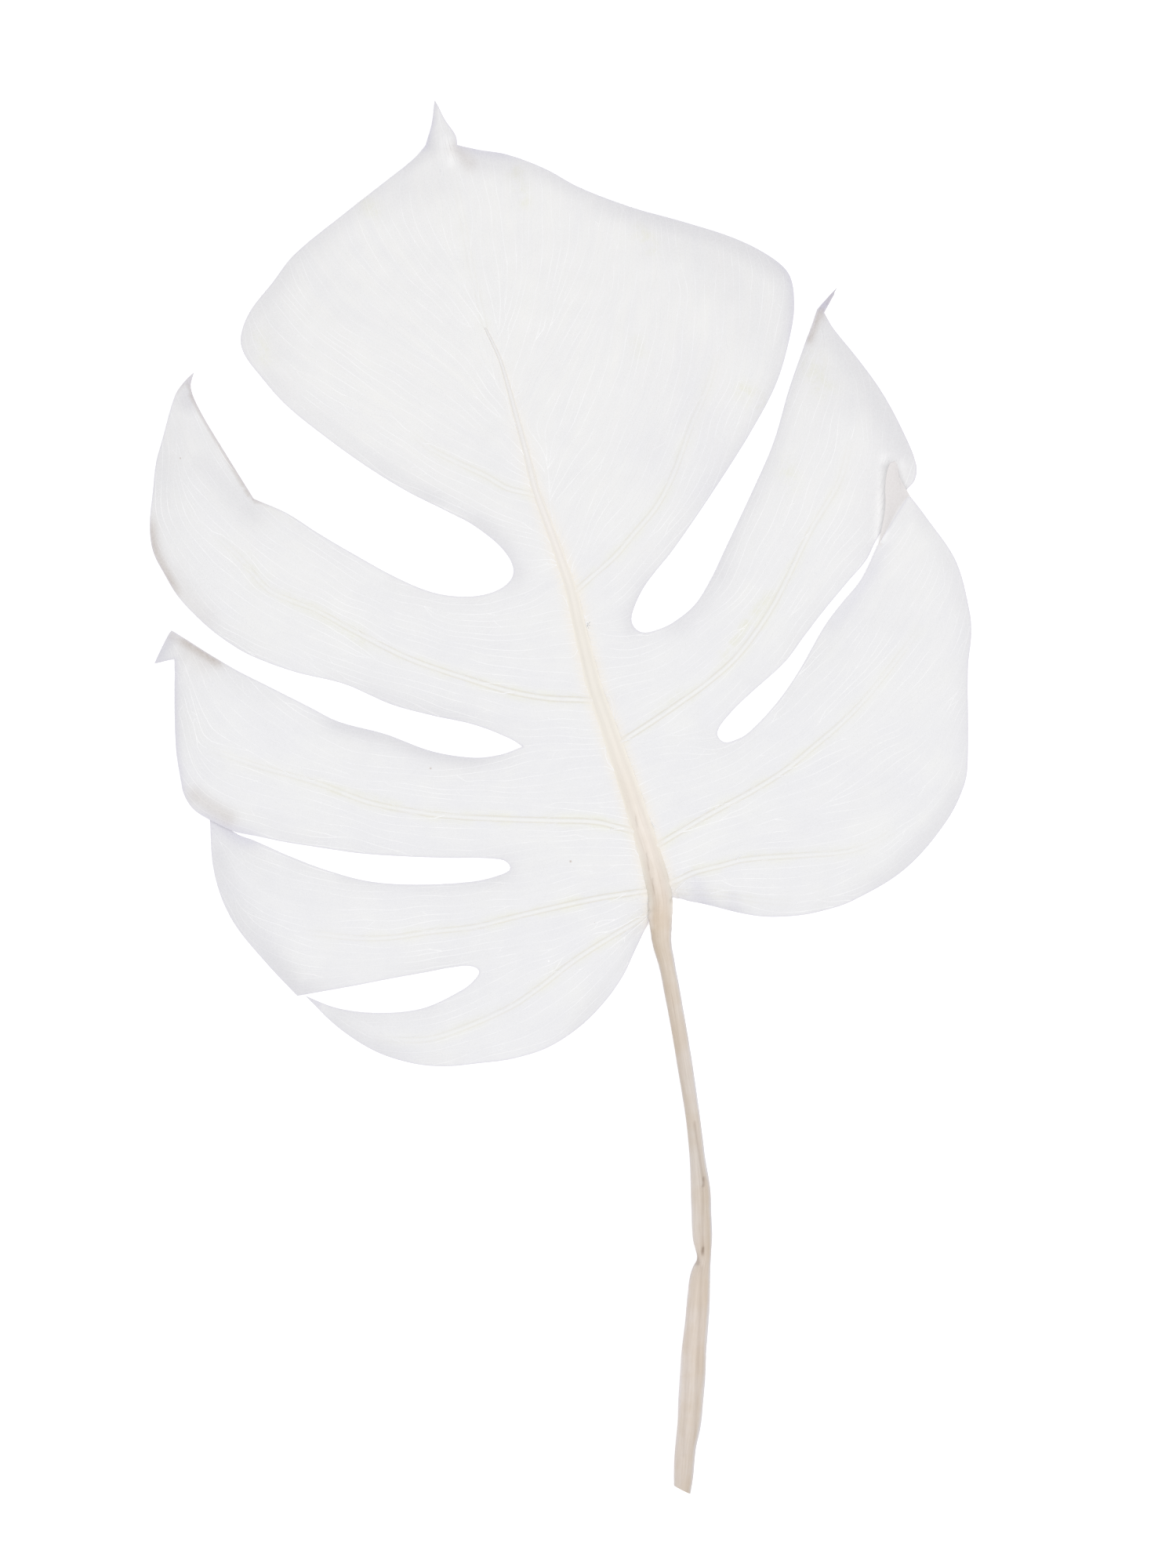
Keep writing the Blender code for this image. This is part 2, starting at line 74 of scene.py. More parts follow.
# %% Camera
PICTURE_LENGTH = 500 * MM
PICTURE_MIDDLE = (8.75 * MM, 4.1 * MM)
BLADE_LEVEL = 3 * MM
LENS = 180
SENSOR = 36
SIGHT = 50

camera_data = bpy.data.cameras.new("camera")
camera_data.lens = LENS
camera_data.sensor_width = SENSOR
camera = bpy.data.objects.new("camera", camera_data)
bpy.context.scene.collection.objects.link(camera)
camera.location = (*PICTURE_MIDDLE, BLADE_LEVEL + PICTURE_LENGTH * LENS / SENSOR)
camera_data.clip_end = SIGHT
bpy.context.scene.camera = camera
print("camera height in metres:", round(camera.location.z, 3))

# %% [markdown]
# White on white needs quiet light. One wide soft lamp stands almost overhead, a little to the lower right, so
# that each ridge has a light side and a darker one. The world gives a cool, even fill, which is why slopes
# turn grey with a touch of lavender. The floor glows a little, as a lit table does, so that it stays white
# under the shallow shadows. The Standard view keeps whites white, where the default would grey them.

# %% Floor, lamp and fill
FLOOR_SIZE = 12
FLOOR_DROP = 0.2 * MM
LAMP_PLACE = Vector((0.2, -0.15, 3.3))
LAMP_SIZE = 2.2
LAMP_POWER = 53.5
LAMP_COLOUR = (1.0, 0.995, 0.985)
FILL_COLOUR = (0.985, 0.985, 1.0, 1)
FILL_STRENGTH = 0.6

scene = bpy.context.scene
scene.view_settings.view_transform = "Standard"

floor_mesh = bpy.data.meshes.new("floor")
sheet = bmesh.new()
bmesh.ops.create_grid(sheet, x_segments=1, y_segments=1, size=FLOOR_SIZE / 2)
bmesh.ops.translate(sheet, vec=(0, 0, -FLOOR_DROP), verts=sheet.verts)
sheet.to_mesh(floor_mesh)
sheet.free()
floor = bpy.data.objects.new("floor", floor_mesh)
scene.collection.objects.link(floor)
floor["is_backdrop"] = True

lamp_data = bpy.data.lights.new("soft_lamp", "AREA")
lamp_data.shape = "DISK"
lamp_data.size = LAMP_SIZE
lamp_data.energy = LAMP_POWER
lamp_data.color = LAMP_COLOUR
lamp = bpy.data.objects.new("soft_lamp", lamp_data)
scene.collection.objects.link(lamp)
lamp.location = LAMP_PLACE
lamp.rotation_euler = (-LAMP_PLACE).to_track_quat("-Z", "Y").to_euler()
lamp.visible_camera = False

world = bpy.data.worlds.new("fill")
world.use_nodes = True
background = world.node_tree.nodes["Background"]
background.inputs["Color"].default_value = FILL_COLOUR
background.inputs["Strength"].default_value = FILL_STRENGTH
scene.world = world
print("lamp at", tuple(LAMP_PLACE), "fill", FILL_STRENGTH)

# %% [markdown]
# ## The blade's outline
#
# A leaf's edge is one closed line, but it isn't smooth all round: it turns a corner at each pointed tip. So
# it is kept as stretches, each a smooth curve between two corners, with only the points that its bends
# need. All flat places below are in millimetres, with +Y towards the tip of the leaf. A Bezier piece
# between each two points gives a line that passes through them all.

# %% Margins
LOWER_LEFT_LOBE = [
    (28.5, -39), (24, -48.5), (20, -57), (14, -65.5), (6, -73.5), (-4, -80), (-15, -83.5), (-26, -85),
    (-37, -86), (-47.5, -85), (-59.5, -81), (-71, -73.5), (-81.5, -63.5),
]
LOWEST_LEFT_SLIT = [
    (-81.5, -63.5), (-71, -67.5), (-58, -69), (-44, -67.5), (-32, -62), (-27.5, -58.5), (-26, -55.5),
    (-29, -54), (-35, -54.5), (-43, -56), (-54, -58), (-67, -60.5), (-84, -63.5),
]
FOURTH_LEFT_LOBE = [(-84, -63.5), (-93, -54), (-103, -42), (-108, -32.5), (-111, -21.5), (-112, -9)]
THIRD_LEFT_SLIT = [
    (-112, -9), (-104, -12.5), (-98, -14), (-86.5, -19), (-74.5, -23.5), (-61, -27), (-46, -28),
    (-27.5, -27), (-18, -24.5), (-16, -22.5), (-19, -20), (-37, -19.5), (-50.5, -19), (-64.5, -18),
    (-78, -16), (-87.5, -14.5), (-97, -12.5), (-104, -11), (-111.5, -7.5), (-117, -4), (-120, 0.5),
    (-121, 4.5), (-122.5, 13.5), (-123, 25.5), (-123, 44),
]
HOOK_LOWER_SIDE = [(-123, 44), (-129.5, 42.5)]
HOOK_UPPER_SIDE = [(-129.5, 42.5), (-127, 47.5), (-124, 53)]
SECOND_LEFT_SLIT = [
    (-124, 53), (-117, 48.5), (-111.5, 45), (-103, 40), (-93, 35), (-80, 28.5), (-71, 24), (-56, 20),
    (-41, 14.5), (-27.5, 12.5), (-19, 13.5), (-12, 16),
]
SECOND_LEFT_LOBE = [
    (-12, 16), (-16, 18.5), (-27.5, 23), (-41, 26), (-54, 29.5), (-69, 36), (-85, 40), (-99.5, 45.5),
    (-109, 51.5), (-116, 57.5), (-122, 64), (-126, 70.5), (-130, 78.5), (-131, 87), (-130, 97.5),
    (-129, 106.5), (-127, 114), (-123, 128), (-120, 132.5), (-117, 135.5),
]
SECOND_LEFT_LOBE_INSIDE = [(-117, 135.5), (-118, 130.5), (-115, 123), (-107, 109.5), (-98, 95)]
TOP_LOBE_LEFT = [
    (-98, 95), (-87.5, 90.5), (-78, 84.5), (-67, 78), (-52.5, 70), (-40, 65), (-28, 64), (-19, 66.5),
    (-15, 71.5), (-18, 78.5), (-27.5, 86.5), (-36, 91), (-49, 97.5), (-62, 105.5), (-74.5, 114.5),
    (-87.5, 125), (-95.5, 134), (-101, 141.5), (-102, 147), (-99, 155), (-92, 164), (-85, 173),
    (-68.5, 186.5), (-57, 195.5), (-47, 203.5), (-43, 208),
]
CUSP_LEFT = [(-43, 208), (-41, 214.5), (-40, 222)]
CUSP_RIGHT = [(-40, 222), (-37, 216), (-33.5, 211), (-33, 208)]
TOP_LOBE_RIGHT = [
    (-33, 208), (-26, 206.5), (-17, 205), (-5, 200.5), (6, 194.5), (23, 188), (39, 183.5), (56, 178),
    (67.5, 172), (73, 166.5), (74.5, 158), (73.5, 148.5), (69, 132.5), (61, 117), (50, 99.5), (36, 79),
    (27, 67.5), (23, 59), (23, 55), (26, 52.5), (31.5, 53.5), (36.5, 56), (43, 61.5), (48, 69.5),
    (52.5, 79), (61, 97), (68, 113), (73, 130), (77.5, 143), (82, 155.5),
]
UPPER_RIGHT_TIP = [(82, 155.5), (88, 162)]
UPPER_RIGHT_TIP_BACK = [(88, 162), (84, 154.5)]
UPPER_RIGHT_LOBE = [
    (84, 154.5), (87, 149.5), (95, 139.5), (102.5, 129), (109.5, 116), (113.5, 106), (113, 101),
    (110, 97.5), (105, 89), (100.5, 81.5), (97.5, 75.5), (91.5, 68.5), (84, 59.5), (77.5, 51), (71.5, 43),
    (60, 32.5), (54, 26.5), (50, 20.5), (52, 17.5), (55.5, 18), (60, 20.5), (69, 30), (76, 40), (84, 54),
    (89.5, 61.5), (96, 69.5), (101.5, 81),
]
FLAP_HINGE = [(101.5, 81), (111, 96.5)]
LOWER_RIGHT_LOBE = [
    (111, 96.5), (116, 90), (126, 75.5), (130.5, 59), (131, 51.5), (130, 41.5), (130, 14.5), (129, 4.5),
    (123, -8), (110, -23), (93.5, -33), (83, -36.5), (74, -38), (63, -38), (47, -34.5), (36, -32),
]
UNDER_STALK = [(36, -32), (32, -36), (28.5, -39)]
MARGINS = [
    LOWER_LEFT_LOBE, LOWEST_LEFT_SLIT, FOURTH_LEFT_LOBE, THIRD_LEFT_SLIT, HOOK_LOWER_SIDE, HOOK_UPPER_SIDE,
    SECOND_LEFT_SLIT, SECOND_LEFT_LOBE, SECOND_LEFT_LOBE_INSIDE, TOP_LOBE_LEFT, CUSP_LEFT, CUSP_RIGHT,
    TOP_LOBE_RIGHT, UPPER_RIGHT_TIP, UPPER_RIGHT_TIP_BACK, UPPER_RIGHT_LOBE, FLAP_HINGE, LOWER_RIGHT_LOBE,
    UNDER_STALK,
]
MARGIN_STEP = 1.1
MEASURE_STEP = 0.25


def smooth_line(points, step):
    """Points about one step apart on the smooth curve through the given ones."""
    knots = [Vector((x, y)) for x, y in points]
    turns = [knots[min(i + 1, len(knots) - 1)] - knots[max(i - 1, 0)] for i in range(len(knots))]
    line = [knots[0]]
    for i in range(len(knots) - 1):
        start = knots[i]
        end = knots[i + 1]
        reach = (end - start).length / 3
        pieces = max(1, round((end - start).length / step))
        bend = geometry.interpolate_bezier(
            start, start + turns[i].normalized() * reach,
            end - turns[i + 1].normalized() * reach, end, pieces + 1,
        )
        line += [Vector(point) for point in bend[1:]]
    return line


def margin_loop(step):
    loop = []
    for stretch in MARGINS:
        loop += smooth_line(stretch, step)[:-1]
    return loop


margin = margin_loop(MEASURE_STEP)
around = sum((margin[i] - margin[i - 1]).length for i in range(len(margin)))
print("length of the edge in millimetres:", round(around))

# %% [markdown]
# ## Lateral veins and the stalk's course
#
# Thick side veins leave the midrib in pairs and fade before they reach the edge. Each is a centre line with
# the height of its ridge at the root. The stalk and the midrib are one tapering body, given by its place,
# width and height from the tip of the midrib down to the cut end.

# %% Veins and stalk
VEINS = [
    ([(-11, 97), (-17, 98.5), (-24, 102.5), (-33.5, 107), (-42, 111.5), (-48, 116.5)], 0.5),
    ([(6.5, 31), (-4, 31.5), (-15.5, 33.5), (-27.5, 37), (-48, 44), (-67, 53.5), (-78, 59.5), (-93, 66),
      (-102, 76), (-111, 84.5)], 0.8),
    ([(19.5, -10), (11, -8), (-4, -7.5), (-20, -7), (-37, -6), (-50.5, -4), (-62, -1.5), (-78, 4.5),
      (-97, 10), (-112.5, 15.5)], 0.8),
    ([(24, -30.5), (11, -32.5), (-13.5, -38), (-27.5, -41.5), (-41, -43), (-55, -45), (-66, -45),
      (-83, -43)], 0.8),
    ([(21.5, -41.5), (14, -46), (4, -52.5), (-7, -61), (-16, -67), (-33, -74.5), (-44, -77.5),
      (-60, -77)], 0.7),
    ([(8, 68.5), (17.5, 77), (23, 83.5), (30.5, 92.5), (36, 103), (41.5, 118), (47, 131), (50, 142)], 0.6),
    ([(21.5, 19), (28.5, 23.5), (38, 30), (47, 36.5), (56, 44.5), (64, 55), (70, 65), (79.5, 84.5),
      (89, 101), (92.5, 114)], 0.8),
    ([(32.5, -14.5), (45, -7), (64, 3.5), (73, 9.5), (82, 17), (89, 23), (96, 30), (103.5, 39),
      (115.5, 55)], 0.8),
    ([(37.5, -26.5), (43, -24), (51, -22), (59, -20), (79, -18.5), (91, -17.5), (99, -15),
      (107, -10.5)], 0.7),
    ([(43, -30.5), (51, -31), (63, -33), (75, -34)], 0.3),
    ([(-24.5, 151.5), (-29, 171.5), (-32, 188.5), (-35.5, 203)], 0.2),
]
VEIN_STEP = 1.4
VEIN_HALF_WIDTH = 0.85
VEIN_END_SHARE = 0.4
VEIN_SCALE = 0.6
VEIN_TAPER = 0.6

STALK = [
    ((-24, 149.5), 0.9, 0.6), ((-19.5, 140), 1.3, 0.6), ((-17, 132), 1.6, 0.65), ((-14, 121), 2.0, 0.7),
    ((-11, 110), 2.3, 0.75), ((-8, 98), 2.6, 0.8), ((-4, 87), 3.0, 0.85), ((0, 76), 3.4, 0.9),
    ((3.3, 66), 3.8, 0.95), ((5.8, 55), 4.2, 1.0), ((8.3, 44.5), 4.5, 1.1), ((11.2, 33.5), 4.9, 1.2),
    ((14.7, 23.5), 5.3, 1.3), ((18.3, 13), 5.7, 1.45), ((21.8, 3), 6.2, 1.65), ((25.6, -9), 6.7, 2.0),
    ((28.6, -18.5), 7.1, 2.5), ((30.6, -26), 7.5, 3.1), ((32, -33.5), 7.6, 3.8), ((32, -40), 7.0, 4.3),
    ((32.3, -46.5), 6.0, 4.6), ((33.8, -53), 5.1, 4.6), ((36.2, -65.5), 4.9, 4.5),
    ((38.5, -78.5), 4.8, 4.5), ((40.5, -91), 4.8, 4.4), ((42.4, -104), 4.5, 4.2),
    ((43.8, -116.5), 5.1, 4.5), ((44.6, -124.5), 6.1, 4.9), ((44.9, -132.5), 6.2, 5.0),
    ((45.2, -140.5), 6.0, 4.7), ((45.6, -147.5), 4.6, 3.9), ((44.7, -152), 6.1, 4.9),
    ((44, -160), 7.0, 5.4), ((43.4, -168), 7.4, 5.6), ((42.6, -176), 7.8, 5.8), ((42.2, -184), 8.0, 5.9),
    ((41.6, -192), 7.8, 5.9), ((41, -200), 7.4, 5.7), ((39.8, -208), 6.5, 5.4), ((39.2, -216), 6.2, 5.2),
    ((38.8, -221), 5.4, 4.4),
]
LEAF_BASE = (32.0, -36.0)
print(len(VEINS), "lateral veins,", len(STALK), "places along the stalk")

# %% [markdown]
# ## Measuring the flat leaf
#
# Most of the form depends on how far a point is from the edge and from the nearest vein. Asking every point
# of a curve would be slow, so the curves are laid out as fine dots in a search tree, which finds the nearest
# dot at once. The work is done on whole arrays of points, which keeps the formulas short.

# %% Distances
ROOT_STEP = 0.5
ROOT_STEPS = 20
AT_MIDRIB = 0.6


def tree_of(points):
    tree = kdtree.KDTree(len(points))
    for i, point in enumerate(points):
        tree.insert((point[0], point[1], 0), i)
    tree.balance()
    return tree


def nearest(tree, spots):
    """Index of the nearest dot, and the distance to it, for each spot."""
    found = [tree.find((x, y, 0)) for x, y in spots]
    return np.array([item[1] for item in found]), np.array([item[2] for item in found])


def rooted(line):
    """The line, run on straight back to the middle of the midrib."""
    start = Vector(line[0])
    back = (start - Vector(line[1])).normalized()
    course = smooth_line([place for place, _, _ in STALK], 1)
    for _ in range(ROOT_STEPS):
        start = start + back * ROOT_STEP
        if min((dot - start).length for dot in course) < AT_MIDRIB:
            break
    return [tuple(start)] + list(line)


def vein_dots():
    """Fine dots along every lateral vein, with the height and half-width of its ridge at each."""
    places = []
    heights = []
    widths = []
    for line, height in VEINS:
        dots = smooth_line(line, MEASURE_STEP)
        for i, dot in enumerate(dots):
            along = i / (len(dots) - 1)
            places.append(dot)
            heights.append(VEIN_SCALE * height * (1 - along) ** VEIN_TAPER)
            widths.append(VEIN_HALF_WIDTH * (1 - (1 - VEIN_END_SHARE) * along))
    return places, np.array(heights), np.array(widths)


VEINS = [(rooted(line), height) for line, height in VEINS]
margin_tree = tree_of(margin)
vein_places, vein_heights, vein_widths = vein_dots()
vein_tree = tree_of(vein_places)
print(len(margin), "dots on the edge,", len(vein_places), "on the veins")

# %% [markdown]
# ## Rise and fall
#
# Drying lifts a leaf in broad swells, rolls its edges down and leaves a shallow ripple along them. A few
# creases stand up like roof ridges: on the hooked tip, on the cusp and on the upper right tip. In two places
# one lobe lies over its neighbour. All of this could be sculpted, or left to a cloth simulation, but a
# formula is repeatable and lets the veins and the stalk find the same surface. Low cockles between the
# veins are added to it here, because the fine mesh can hold them.

# %% Height of the sheet
BLADE_THICKNESS = 0.35
INNER_HEIGHT = 1.2
MARGIN_ROLL = 12.0
RIPPLE_HEIGHT = 0.5
RIPPLE_REACH = 9.0
RIPPLES_ROUND = 17
SWELLS = [
    ((-114, 92), 30, 6.5), ((-108, 32), 26, 5.5), ((-95, -38), 24, 3.0), ((-60, -74), 20, 1.5),
    ((-72, 150), 28, 3.0), ((52, 160), 30, 3.5), ((98, 122), 28, 4.5), ((112, 50), 30, 2.5),
]
FEET = [(80, 6), (-40, 120), (-52, -33), (18, 122)]
FOOT_SINK = 1.6
FOOT_REACH = 20.0
CREASES = [
    ((-124, 53), (-123, 44), 5.0, 5.0, 7.5),
    ((-38, 200), (-39.5, 222), 1.2, 3.6, 5.5),
    ((83, 154), (88, 162), 3.0, 8.0, 9.0),
]
OVERLAPS = [
    (FLAP_HINGE, 2.8, 14.0),
    ([(-93, -14.2), (-97.5, -13.2), (-104, -11.7), (-112, -8.1), (-119, -3.5)], 2.8, 10.0),
]
LOWER_UNDER_OVERLAP = 0.8
ON_THE_COURSE = 0.05
SLID_CORNER = (-112.0, -9.0)
SLIDE = 3.2
SLIDE_REACH = 8.0
COCKLES = [(0.16, 17.0, 0.35, 0.4), (0.12, 11.0, 1.45, 2.1), (0.09, 7.5, 2.5, 4.4)]
SOFT_FLOOR = 0.25


def bell(distance, reach):
    return np.exp(-((distance / reach) ** 2))


def from_line(spots, start, end):
    """Share of the way from start to end, distance from the line, and a number over 0 on its left."""
    run = np.subtract(end, start)
    away = spots - np.array(start)
    share = np.clip(away @ run / (run @ run), 0, 1)
    offset = away - share[:, None] * run
    return share, np.hypot(offset[:, 0], offset[:, 1]), run[0] * away[:, 1] - run[1] * away[:, 0]


def beside_course(spots, course):
    """Distance from a bent course, and how far to the left of it."""
    best = np.full(len(spots), np.inf)
    side = np.zeros(len(spots))
    for start, end in zip(course, course[1:]):
        _, distance, left = from_line(spots, start, end)
        nearer = distance < best
        side = np.where(nearer, left / math.dist(start, end), side)
        best = np.where(nearer, distance, best)
    return best, side


def distance_to(spots, place):
    return np.hypot(spots[:, 0] - place[0], spots[:, 1] - place[1])


def sheet_height(spots):
    """Height of the blade's lower face without its veins, in millimetres."""
    edge = nearest(margin_tree, spots)[1]
    swell = np.full(len(spots), INNER_HEIGHT)
    for middle, reach, rise in SWELLS:
        swell += rise * bell(distance_to(spots, middle), reach)
    for size, length, turn, phase in COCKLES:
        along = spots[:, 0] * math.cos(turn) + spots[:, 1] * math.sin(turn)
        swell += size * np.sin(along / length * math.tau + phase + np.sin(spots[:, 1] / (2 * length)))
    height = swell * (1 - np.exp(-edge / MARGIN_ROLL))
    angle = np.arctan2(spots[:, 1] - LEAF_BASE[1], spots[:, 0] - LEAF_BASE[0])
    height += RIPPLE_HEIGHT * (1 + np.sin(RIPPLES_ROUND * angle)) * np.exp(-edge / RIPPLE_REACH)
    for start, end, first, last, run_down in CREASES:
        share, distance, _ = from_line(spots, start, end)
        height = np.maximum(height, (first + (last - first) * share) * (1 - distance / run_down))
    for course, rise, reach in OVERLAPS:
        distance, left = beside_course(spots, course)
        over = np.maximum(height, rise * bell(distance, reach))
        under = height * (1 - LOWER_UNDER_OVERLAP * bell(distance, reach))
        height = np.where(left <= ON_THE_COURSE, over, under)
    for foot in FEET:
        height -= FOOT_SINK * bell(distance_to(spots, foot), FOOT_REACH)
    return (height + np.sqrt(height**2 + SOFT_FLOOR**2)) / 2


def ridge_height(spots):
    """Height of the lateral vein's ridge, which has a round top and a soft foot."""
    index, distance = nearest(vein_tree, spots)
    share = np.clip(distance / vein_widths[index], 0, 1)
    return vein_heights[index] * np.cos(share * math.pi / 2) ** 2


def slid(spots):
    """The spots, with the corner of the fourth left lobe slid up under the lobe above it."""
    left = beside_course(spots, OVERLAPS[1][0])[1]
    slide = SLIDE * bell(distance_to(spots, SLID_CORNER), SLIDE_REACH)
    moved = spots.copy()
    moved[:, 1] += np.where(left > ON_THE_COURSE, slide, 0)
    return moved


sample = sheet_height(np.array([(0.0, 100.0), (-114.0, 92.0), (84.0, 156.0)]))
print("heights on the top lobe, the left swell and the right tip:", sample.round(2))

# %% [markdown]
# ## Which way the leaf grows
#
# Everything fine on a leaf follows its growth: hair-thin veins leave the midrib and the lateral veins, run
# along each lobe and bend towards the tip of the leaf near the edge, and the dried tissue between them is
# streaked the same way. A few guide lines say which way that is. Anywhere else it is a mean of the guides
# nearby, kept on a coarse grid.

# %% Direction of growth
GUIDES = [line for line, _ in VEINS] + [
    [(-20, 132), (-14, 150), (-10, 168), (-9, 186), (-9, 200)],
    [(-13, 124), (-6, 133), (0, 143.5), (4, 151.5), (7.5, 159), (12, 171.5), (14, 184), (15, 190)],
    [(0, 96.5), (7.5, 106.5), (15.5, 119), (21, 134), (24, 149), (26, 166.5), (25, 183)],
    [(5, 79), (17, 102.5), (25, 117), (30, 129), (34, 144), (35, 159), (34, 166.5), (33, 180)],
    [(50, 142), (50.5, 163), (49, 179)],
    [(21, 68), (34, 82), (46, 99), (59, 124), (65, 147), (67.5, 167), (65, 174)],
    [(-26, 149), (-29, 156), (-37.5, 165), (-45, 174), (-50, 183), (-52.5, 194), (-52, 200)],
    [(-19, 129), (-31, 142), (-46, 154), (-59, 167), (-66, 177), (-69, 185)],
    [(-13, 112), (-29, 124), (-49, 137), (-69, 149), (-81, 162), (-85, 170)],
    [(-48, 116.5), (-69, 130), (-86, 142), (-95, 149), (-97.5, 155)],
    [(-10, 84), (-30, 92), (-55, 104), (-80, 121), (-98, 140), (-100, 149)],
    [(0, 69), (-14, 63), (-29, 60), (-49, 63), (-69, 73), (-86, 84), (-101, 97), (-111, 112), (-117, 127)],
    [(4, 54), (-16, 52), (-39, 54), (-61, 63), (-84, 75), (-104, 90), (-117.5, 107), (-122.5, 122)],
    [(7.5, 27), (-16, 29), (-39, 34), (-61, 42), (-84, 52), (-104, 64), (-119, 79), (-126, 94), (-126, 109)],
    [(6, 22), (-6, 22), (-29, 25), (-54, 33), (-79, 42), (-99, 52), (-116, 64), (-124, 76)],
    [(11, 17), (-9, 13), (-29, 8), (-54, 8), (-76.5, 13), (-93, 24), (-101.5, 31), (-108.5, 40), (-113, 44)],
    [(19, 2), (-4, -1), (-29, 0), (-54, 3), (-79, 8), (-96, 15), (-107.5, 25), (-115, 37), (-119, 45)],
    [(22, -11), (-4, -13), (-29, -13), (-54, -11), (-74, -6), (-90, -2.5), (-104, 1.5), (-111, 4.5),
     (-116, 9.5), (-118, 17), (-120.5, 29), (-121.5, 34.5)],
    [(-16, -19), (-39, -18.5), (-64, -16.5), (-84, -14), (-99, -10.5), (-112.5, -5), (-119, 2)],
    [(24, -23), (1, -23), (-19, -27), (-44, -29.5), (-69, -28.5), (-86, -23), (-99, -17), (-107.5, -12)],
    [(21, -28), (-4, -33), (-29, -36), (-54, -37), (-79, -37), (-96, -32), (-106, -25), (-110, -17)],
    [(21, -33), (1, -41), (-24, -47), (-49, -52), (-69, -54.5), (-86, -52), (-100, -43), (-107.5, -32)],
    [(-4, -48), (-29, -52), (-54, -56.5), (-74, -59.5), (-84, -61.5)],
    [(19, -41), (1, -50), (-19, -60), (-39, -68), (-59, -71), (-71, -68.5), (-79, -65)],
    [(25, -43), (14, -56), (-1, -68), (-19, -76), (-39, -81), (-56, -80), (-71, -73), (-79, -67)],
    [(26, -45), (20, -56), (11, -66), (-1, -76), (-16, -82)],
    [(10, 49), (21, 47), (34, 52), (44, 62), (54, 82), (62.5, 104), (71, 129), (79, 147), (82, 155)],
    [(15, 37), (34, 42), (51, 57), (64, 74), (74, 94), (81, 114), (86, 134), (86, 149)],
    [(21, 17), (39, 29), (54, 42), (69, 59), (81, 77), (91, 94), (97.5, 114), (96, 134), (90, 147)],
    [(46, 23), (61, 39), (74, 54), (86, 69), (99, 82), (107.5, 97), (111, 107)],
    [(22.5, 14), (39, 17), (51, 15), (61, 22), (71, 34), (81, 52), (91, 69), (101, 82), (109, 92)],
    [(25, 4), (46, 10), (66, 22), (81, 34), (94, 49), (104, 67), (112.5, 82)],
    [(112, 50), (117, 58.5), (122, 67), (123.5, 76)],
    [(34, -9), (57, 0), (81, 12), (98, 20), (109.5, 28), (116, 35), (120.5, 40), (126, 48), (128, 59)],
    [(31, -15), (59, -6), (89.5, 4), (100, 13), (108.5, 18), (116, 25), (122, 32), (127, 39), (129, 44)],
    [(34, -20), (59, -13), (84, -8), (104, -1), (119, 10), (127, 24)],
    [(107, -10.5), (119, -1), (125, 9), (129, 22)],
    [(39, -28), (59, -27), (79, -26), (96, -21), (111, -12), (124, 2)],
    [(75, -34), (95, -31), (110, -21)],
]
FIELD_STEP = 2.0
GUIDE_STEP = 2.0
GUIDE_SOFTNESS = 2.5

guide_dots = []
guide_ways = []
for guide in GUIDES:
    dots = smooth_line(guide, GUIDE_STEP)
    guide_dots += [tuple((dots[i] + dots[i + 1]) / 2) for i in range(len(dots) - 1)]
    guide_ways += [tuple((dots[i + 1] - dots[i]).normalized()) for i in range(len(dots) - 1)]
guide_dots = np.array(guide_dots)
guide_ways = np.array(guide_ways)
edge_dots = np.array([tuple(dot) for dot in margin])
field_low = edge_dots.min(axis=0) - FIELD_STEP
field_size = np.ceil((edge_dots.max(axis=0) - field_low) / FIELD_STEP).astype(int) + 2
field = np.zeros((*field_size, 2))
for column in range(field_size[0]):
    places = np.column_stack([
        np.full(field_size[1], field_low[0] + column * FIELD_STEP),
        field_low[1] + np.arange(field_size[1]) * FIELD_STEP,
    ])
    gaps = ((places[:, None, :] - guide_dots[None, :, :]) ** 2).sum(axis=2)
    mean = (1 / (gaps + GUIDE_SOFTNESS**2) ** 2) @ guide_ways
    field[column] = mean / np.linalg.norm(mean, axis=1)[:, None]
print(len(GUIDES), "guides,", len(guide_dots), "directions")

# %% [markdown]
# The streaks are made the way that wind smears smoke: each point takes the mean of a coarse random pattern
# over a short walk along the direction of growth, both ways. The random pattern has a fixed seed, so every
# run gives the same streaks.

# %% Streaks along the growth
GRAIN_SIZE = 1.3
STREAK_STEP = 1.2
STREAK_STEPS = 9
STREAK_CONTRAST = 3.0
STREAK_SEED = 11


def between(table, size, spots):
    """Values of a table of numbers at the spots, between its four nearest entries."""
    place = np.clip((spots - field_low) / size, 0, np.array(table.shape[:2]) - 1.001)
    i = place.astype(int)
    s, t = (place - i).T.reshape(2, -1, *[1] * (table.ndim - 2))
    i, j = i.T
    low = table[i, j] * (1 - s) + table[i + 1, j] * s
    high = table[i, j + 1] * (1 - s) + table[i + 1, j + 1] * s
    return low * (1 - t) + high * t


def streaks(spots):
    """A smooth number round 0 that changes little along the growth and more across it."""
    shape = np.ceil(field_size * FIELD_STEP / GRAIN_SIZE).astype(int) + 1
    grain = np.random.default_rng(STREAK_SEED).random(shape) - 0.5
    total = between(grain, GRAIN_SIZE, spots)
    for way in (-1, 1):
        place = spots.copy()
        for _ in range(STREAK_STEPS):
            place += between(field, FIELD_STEP, place) * way * STREAK_STEP
            total += between(grain, GRAIN_SIZE, place)
    return np.clip(total / (2 * STREAK_STEPS + 1) * STREAK_CONTRAST, -0.5, 0.5)


print("streaks at the middle:", streaks(np.array([(-50.0, 0.0), (-50.0, 2.0), (-50.0, 4.0)])).round(3))

